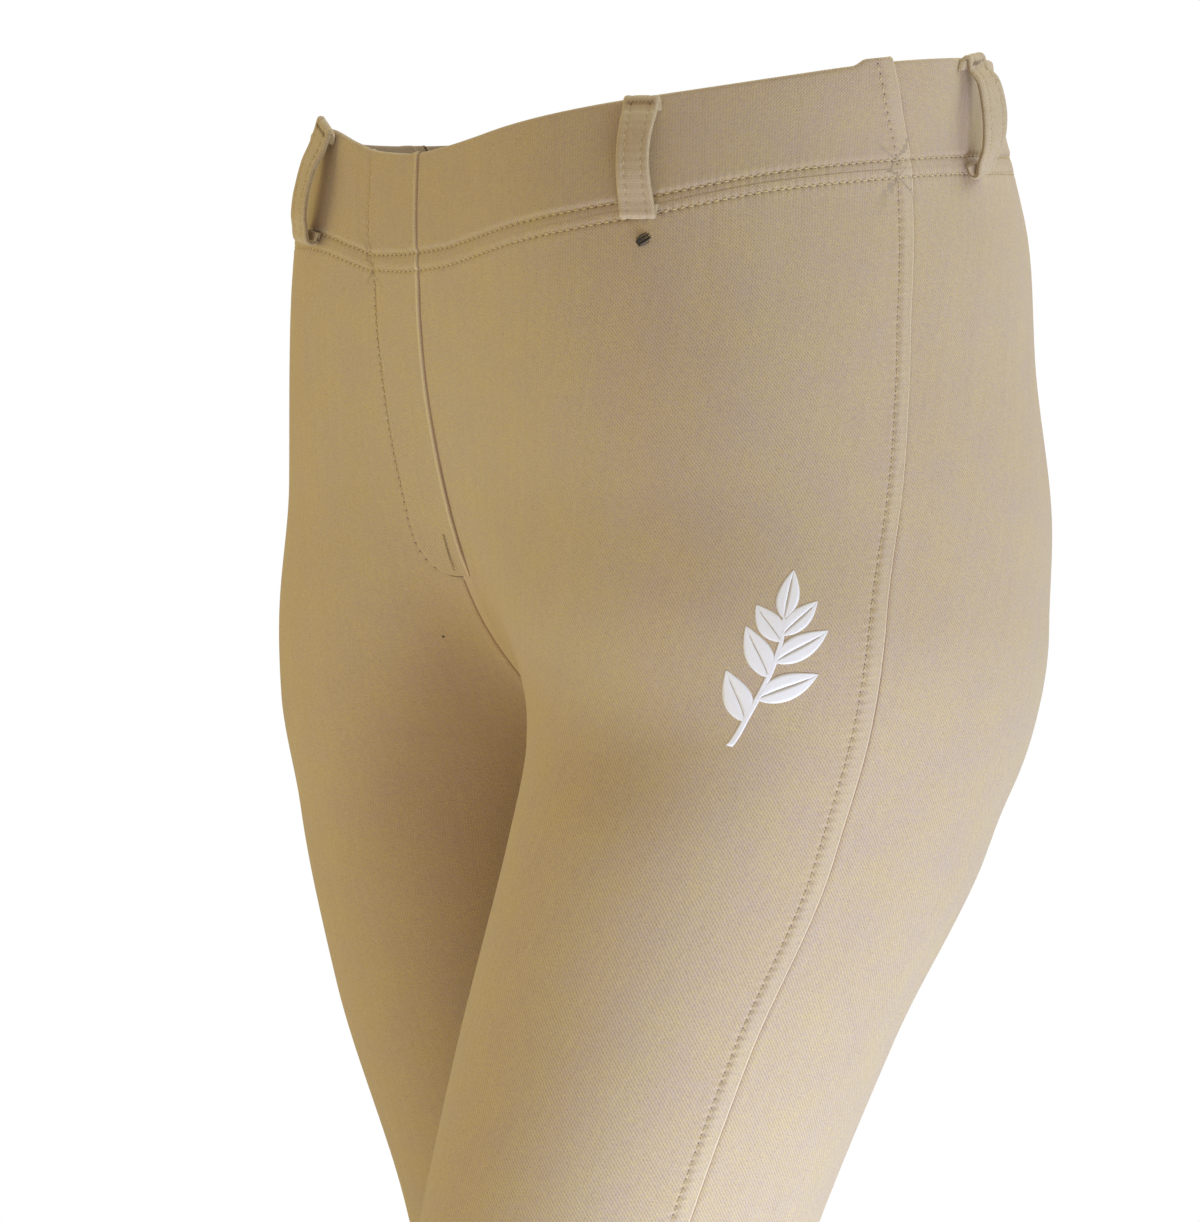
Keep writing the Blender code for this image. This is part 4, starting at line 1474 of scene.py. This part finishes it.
def tackLoop(sewnAt, path, slant):
    # the bar tack through its head; the foot is turned under over its own
    tack, n = loops["tack"], np.arange(loops["tack"]["points"])
    upper = path[len(path) // 4:]
    centre = upper[np.argmax(upper[:, 0] > sewnAt.length - tack["below"])]
    beside = (n / n[-1] - 0.5) * (loops["width"] - tack["in"])
    zigzag = sewnAt.at(centre[0] + np.where(n % 2, 1, -1) * tack["reach"] - slant * beside,
                       centre[1] + loops["cloth"] / 2 + tack["lift"] + 0 * beside, beside)
    threads["bar_tacks"].cord(zigzag, sewnAt.away, tack["radius"])


loopPieces, loopPlaces = {}, []
for name, sewn in loopsSewn.items():
    loopPieces["belt_loop_" + name], sewnAt = makeLoop(name, *sewn)
    loopPlaces.append(sewnAt)
print("belt loops made")


# ---- loose ends: frayed thread at the loops, the tuft below the front loop, the tack at the fly's end

def looseEnd(gather, start, direction, away, length, curl, radius):
    t = np.linspace(0, 1, 14)[:, None]
    direction = unit(direction)
    bent = unit(np.cross(direction, away)) * curl * np.sin(2.6 * t)
    lift = away * 0.8 * np.sin(math.pi * t) * length / 6
    threads[gather].cord(start + direction * length * t + bent + lift, away, radius)


frays = [
    # at each loop's foot and head: how many, gathered with, how far in from the end, beside its middle and
    # off the cloth, its lean sideways and upward, length, curl and radius
    ("foot", 5, "loose_threads", (2.0, 4.0), (4.6, 6.4), 1.0, 0.6, (-0.8, 0.8), (1.6, 3.4), 0.8, 0.10),
    ("head", 4, "loop_stitches", (1.5, 3.5), (3.5, 6.0), 2.6, 1.0, (-0.5, 0.9), (1.0, 2.2), 0.6, 0.09),
]
tuft = {
    "place": np.array([116.2, -80.0, -47.0]),
    "length": 5.6,
    "strands": 13,
    "height": (0.7, 1.3),
    "width": 0.9,
    "lean": 0.16,
    "radius": 0.145,
    "paleEnds": 3,
    "speck": (-21.5, -189.0),
}
flyTack = {"top": -150.5, "bottom": -163.5, "points": 22, "middle": -1.6, "reach": 0.55, "lift": 1.45,
           "radius": 0.17}


def frayLoops():
    for sewnAt in loopPlaces:
        for end, count, gather, inward, beside, off, aside, lean, longs, curl, radius in frays:
            first, way = (0, 1) if end == "foot" else (sewnAt.length, -1)
            for k in range(count):
                start = sewnAt.foot + sewnAt.up * (first + way * random.uniform(*inward))
                start = start + sewnAt.sideways * random.uniform(*beside)
                looseEnd(gather, start + sewnAt.away * (loops["seat"] + off),
                         sewnAt.sideways * aside + sewnAt.up * random.uniform(*lean), sewnAt.away,
                         random.uniform(*longs), random.uniform(-curl, curl), radius)


def makeTuft():
    # a small knot of dark thread ends on the cloth below the front belt loop, with a few pale ones
    middle, length, width, lean = (tuft[key] for key in ("place", "length", "width", "lean"))
    away = normalsAt(middle)
    up = unit(np.array([0, 0, 1.0]) - away * away[2])
    run = unit(up * 0.62 + np.cross(up, away) * 0.78)
    square = np.cross(run, away)
    for k in range(tuft["strands"]):
        start = middle + away * random.uniform(*tuft["height"]) - run * length * 0.5
        looseEnd("loose_threads", start + square * random.uniform(-width, width),
                 run + square * random.uniform(-lean, lean), away,
                 length * random.uniform(0.7, 1.05), random.uniform(-width, width), tuft["radius"])
    looseEnd("loose_threads", middle + away * 0.7 - run * 1.5, -run * 0.2 - square, away, 3.0, 0.4, 0.08)
    for k in range(tuft["paleEnds"]):
        looseEnd("front_stitches", middle + away * 0.8 + run * 1.6,
                 run + square * random.uniform(-width, width), away, random.uniform(1.6, 2.6), 0.3, 0.12)


def makeSpeck():
    # a dark speck of thread on the right thigh
    spot = frontPoint(*np.array(tuft["speck"])[:, None])[0]
    away = normalsAt(spot)
    for k in range(4):
        looseEnd("loose_threads", spot + away * 0.1 + random.uniform(-0.3, 0.3, 3),
                 random.uniform(-1, 1, 3), away, 0.7, 0.2, 0.14)


def tackFly():
    # a short zigzag that holds the fly's lower end
    n = np.arange(flyTack["points"])
    z = np.linspace(flyTack["top"], flyTack["bottom"], len(n))
    points = frontPoint(flyTack["middle"] + np.where(n % 2, 1, -1) * flyTack["reach"], z)
    away = normalsAt(points)
    threads["bar_tacks"].cord(points + away * flyTack["lift"], away[0], flyTack["radius"])


frayLoops()
makeTuft()
makeSpeck()
tackFly()
finishes = {"bar_tacks": tackFinish, "loose_threads": darkFinish}
threadPieces = [each.build(name, finishes.get(name, threadFinish)) for name, each in threads.items()]
print("stitches made")


# ---- leaf sprig on the left thigh

sprig = {
    "height": -192.0,
    "share": 0.822,
    "panelWidth": 246.0,
    "film": 0.16,
    "rimFilm": 0.75,         # the film thins to this share at its edges
    "under": 0.15,
    "columns": 5,
    "stem": [(-6, -31), (-4.6, -22), (-1.2, -10), (1.4, 0), (2.4, 8), (2.0, 15)],
    "stemWidth": 2.4,
    "midrib": 0.32,
    # where on the stem, which side, length, width, angle of each leaf
    "leaves": [
        (0.20, -1, 21, 9.6, 40), (0.33, 1, 23, 10.0, 42), (0.47, -1, 21, 9.4, 44), (0.58, 1, 22, 9.4, 40),
        (0.76, -1, 17, 8.4, 42), (0.82, 1, 17, 8.0, 38), (0.99, 0, 17, 8.6, 4),
    ],
    "look": {"Warm": (0.90, 0.89, 0.91, 1), "Cool": (0.88, 0.88, 0.91, 1), "Valley shade": (0.78, 0.76, 0.77, 1),
             "Wales per metre": 980.0, "Courses per metre": 1230.0, "Contrast": 0.4, "Fuzz": 0.25,
             "Streaks": 0.05},
}


def filmMaterial():
    # matt white transfer film that shows a little of the knit under it
    made, tree = newMaterial("leafFilm")
    uv, _, _ = mapOf(tree, "cloth")
    cloth = shared(tree, knitGroup, sprig["look"])
    colour = mixColour(tree, noiseAt(tree, uv, 180.0) * 0.25, cloth["Colour"], (0.80, 0.80, 0.86, 1))
    return finishMaterial(made, {"Base Color": colour, "Normal": bump(tree, cloth["Height"], 0.25, 0.0002),
                                 "Roughness": 0.55, "Specular IOR Level": 0.35})


def sprigOutlines():
    # the two long edges of the stem and of each half leaf, in millimetres about the middle of the sprig
    stem = Curve([(i / (len(sprig["stem"]) - 1), *p) for i, p in enumerate(sprig["stem"])])
    t = np.linspace(0, 1, 40)
    line = stem(t)
    run = unit(np.gradient(line, axis=0))
    width = np.column_stack([-run[:, 1], run[:, 0]]) * (sprig["stemWidth"] / 2 * (1.15 - 0.55 * t))[:, None]
    shapes = [(line - width, line + width)]
    for at, hand, length, wide, angle in sprig["leaves"]:
        ahead = unit(stem(np.array(min(at + 0.02, 1.0))) - stem(np.array(at - 0.02)))
        turn = math.radians(-hand * angle if hand else -angle)
        direction = np.array([ahead[0] * math.cos(turn) - ahead[1] * math.sin(turn),
                              ahead[0] * math.sin(turn) + ahead[1] * math.cos(turn)])
        side = np.array([-direction[1], direction[0]])
        s = np.linspace(0, 1, 30)
        bend = -hand * 0.10 * length * np.sin(math.pi * s / 2) ** 2
        middle = stem(np.array(at)) + direction * (length * s)[:, None] + side * bend[:, None]
        half = wide / 2 * np.sin(math.pi * s ** 0.82) ** 0.9 + 0.25 * (1 - s)
        half[-1] = 0.02
        gap = sprig["midrib"] / 2 * np.sin(math.pi * s) ** 0.5 * (s < 0.82)
        half, gap = side * half[:, None], side * gap[:, None]
        shapes += [(middle + gap, middle + half), (middle - half, middle - gap)]
    return shapes


def makeSprig():
    points, faces, uvs, count = [], [], [], 0
    share = np.linspace(0, 1, sprig["columns"])[:, None]
    film = sprig["film"] * np.where(np.minimum(share, 1 - share) > 0, 1.0, sprig["rimFilm"])[:, 0]
    for one, other in sprigOutlines():
        drawn = one[:, None] * (1 - share) + other[:, None] * share
        z = sprig["height"] + drawn[..., 1]
        shares = sprig["share"] + drawn[..., 0] / sprig["panelWidth"]
        base = onPanel(leftSide, frontFace, shares, z)
        away = normalsAt(base)
        lift = creaseHeight("front_left", shares, sprig["panelWidth"], z)
        layers = [base + away * (lift + film)[..., None], base + away * (lift - sprig["under"])[..., None]]
        faces += (wallFaces(*layers)[0] + count).tolist()
        points += [flat(layer) for layer in layers]
        uvs += [flat(drawn) * metres] * 2
        count += 2 * z.size
    return addMesh("thigh_leaf_sprig", np.concatenate(points), faces, [filmMaterial()],
                   {"cloth": np.concatenate(uvs)})


sprigPiece = makeSprig()
print("sprig made")


# ---- what rides on what


def clothPiece(piece, name):
    # a piece of cloth that takes the place of its solid
    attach(piece, "root")
    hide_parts(name)


for name, piece in panelPieces.items():
    clothPiece(piece, name)
for name, piece in bandPieces.items():
    clothPiece(piece, name)
clothPiece(flyPiece, "fly_placket")
clothPiece(lapPiece, "waistband_lap")
for name, piece in loopPieces.items():
    clothPiece(piece, name)
for piece in threadPieces:
    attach(piece, "root")
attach(sprigPiece, "root")


# ---- studio

studio = {
    "cameraAt": (1.2135, -0.8817, -0.200),
    "aimAt": (-0.0033, -0.0046, -0.1758),
    "roll": 3.0,
    "lens": 113.99,
    "floorHeight": -0.9605,
    "floorSize": 2.4,
    "lights": [
        # name, place, aim, size, power, colour
        ("rightHigh", (0.887, 0.727, 0.931), (0.02, 0.0, -0.2), 1.0, 8.73, (0.77, 1.0, 0.989)),
        ("backHigh", (0.216, 1.114, 0.931), (0.02, 0.0, -0.2), 1.0, 5.57, (0.80, 0.74, 1.0)),
        ("above", (0.076, 0.0, 1.399), (0.02, 0.0, -0.2), 1.0, 5.94, (1.0, 0.975, 0.887)),
        ("frontLow", (0.836, -0.685, -0.946), (0.02, 0.0, -0.2), 0.8, 3.45, (1.0, 0.533, 0.414)),
        ("leftSoft", (-1.005, -1.221, -0.061), (0.02, 0.0, -0.2), 1.0, 7.52, (1.0, 0.871, 0.312)),
        ("rightLow", (0.710, 0.172, -0.775), (0.10, -0.05, -0.4), 0.35, 4.4, (0.616, 0.645, 1.0)),
        ("kneeLow", (0.523, -0.128, -0.936), (0.08, -0.05, -0.4), 0.3, 5.76, (0.60, 0.868, 1.0)),
    ],
    "offTheFloor": ("frontLow", "rightLow", "kneeLow"),
    "worldColour": (1.0, 0.889, 0.652, 1),
    "worldLight": 0.414,
}


def aimed(name, data, place, target, roll=0.0):
    # a camera or a light in its place, turned to what it is aimed at
    made = bpy.data.objects.new(name, data)
    bpy.context.scene.collection.objects.link(made)
    turn = (Vector(target) - Vector(place)).normalized().to_track_quat("-Z", "Y").to_matrix().to_4x4()
    made.matrix_world = Matrix.Translation(place) @ turn @ Matrix.Rotation(math.radians(roll), 4, "Z")
    return made


def makeCamera():
    data = bpy.data.cameras.new("viewCamera")
    data.lens = studio["lens"]
    data.sensor_width = 36.0
    data.sensor_fit = "AUTO"
    data.clip_start, data.clip_end = 0.05, 20.0
    camera = aimed("viewCamera", data, studio["cameraAt"], studio["aimAt"], studio["roll"])
    bpy.context.scene.camera = camera


def makeLights():
    # the low lights stand by the legs, so they are kept off the floor
    cloth = bpy.data.collections.new("clothPieces")
    for piece in bpy.context.scene.objects:
        if piece.type == "MESH" and piece.name != "floor":
            cloth.objects.link(piece)
    for name, place, target, size, power, colour in studio["lights"]:
        data = bpy.data.lights.new(name, "AREA")
        data.shape, data.size, data.energy, data.color = "DISK", size, power, colour
        light = aimed(name, data, place, target)
        light.visible_camera = False
        if name in studio["offTheFloor"]:
            light.light_linking.receiver_collection = cloth


def makeWorld():
    # even pale light, and a plain white backdrop for what the camera sees past the floor
    world = bpy.data.worlds.new("studio")
    bpy.context.scene.world = world
    world.use_nodes = True
    tree = world.node_tree
    tree.nodes.clear()
    seen = result(tree, "ShaderNodeBackground", {"Color": (1, 1, 1, 1), "Strength": 1.0})
    lit = result(tree, "ShaderNodeBackground",
                 {"Color": studio["worldColour"], "Strength": studio["worldLight"]})
    onCamera = result(tree, "ShaderNodeLightPath", output="Is Camera Ray")
    place(tree, "ShaderNodeOutputWorld",
          {"Surface": result(tree, "ShaderNodeMixShader", {0: onCamera, 1: lit, 2: seen})})


def makeFloor():
    size, z = studio["floorSize"] / 2, studio["floorHeight"]
    made, _ = newMaterial("paleFloor")
    finishMaterial(made, {"Base Color": (0.82, 0.81, 0.79, 1), "Roughness": 0.8})
    corners = [(-size, -size, z), (size, -size, z), (size, size, z), (-size, size, z)]
    addMesh("floor", np.array(corners) / metres, [[0, 1, 2, 3]], [made])


makeCamera()
makeLights()
makeWorld()
makeFloor()
bpy.context.scene.view_settings.view_transform = "Standard"
bpy.context.scene.view_settings.look = "None"

print("scene ready")
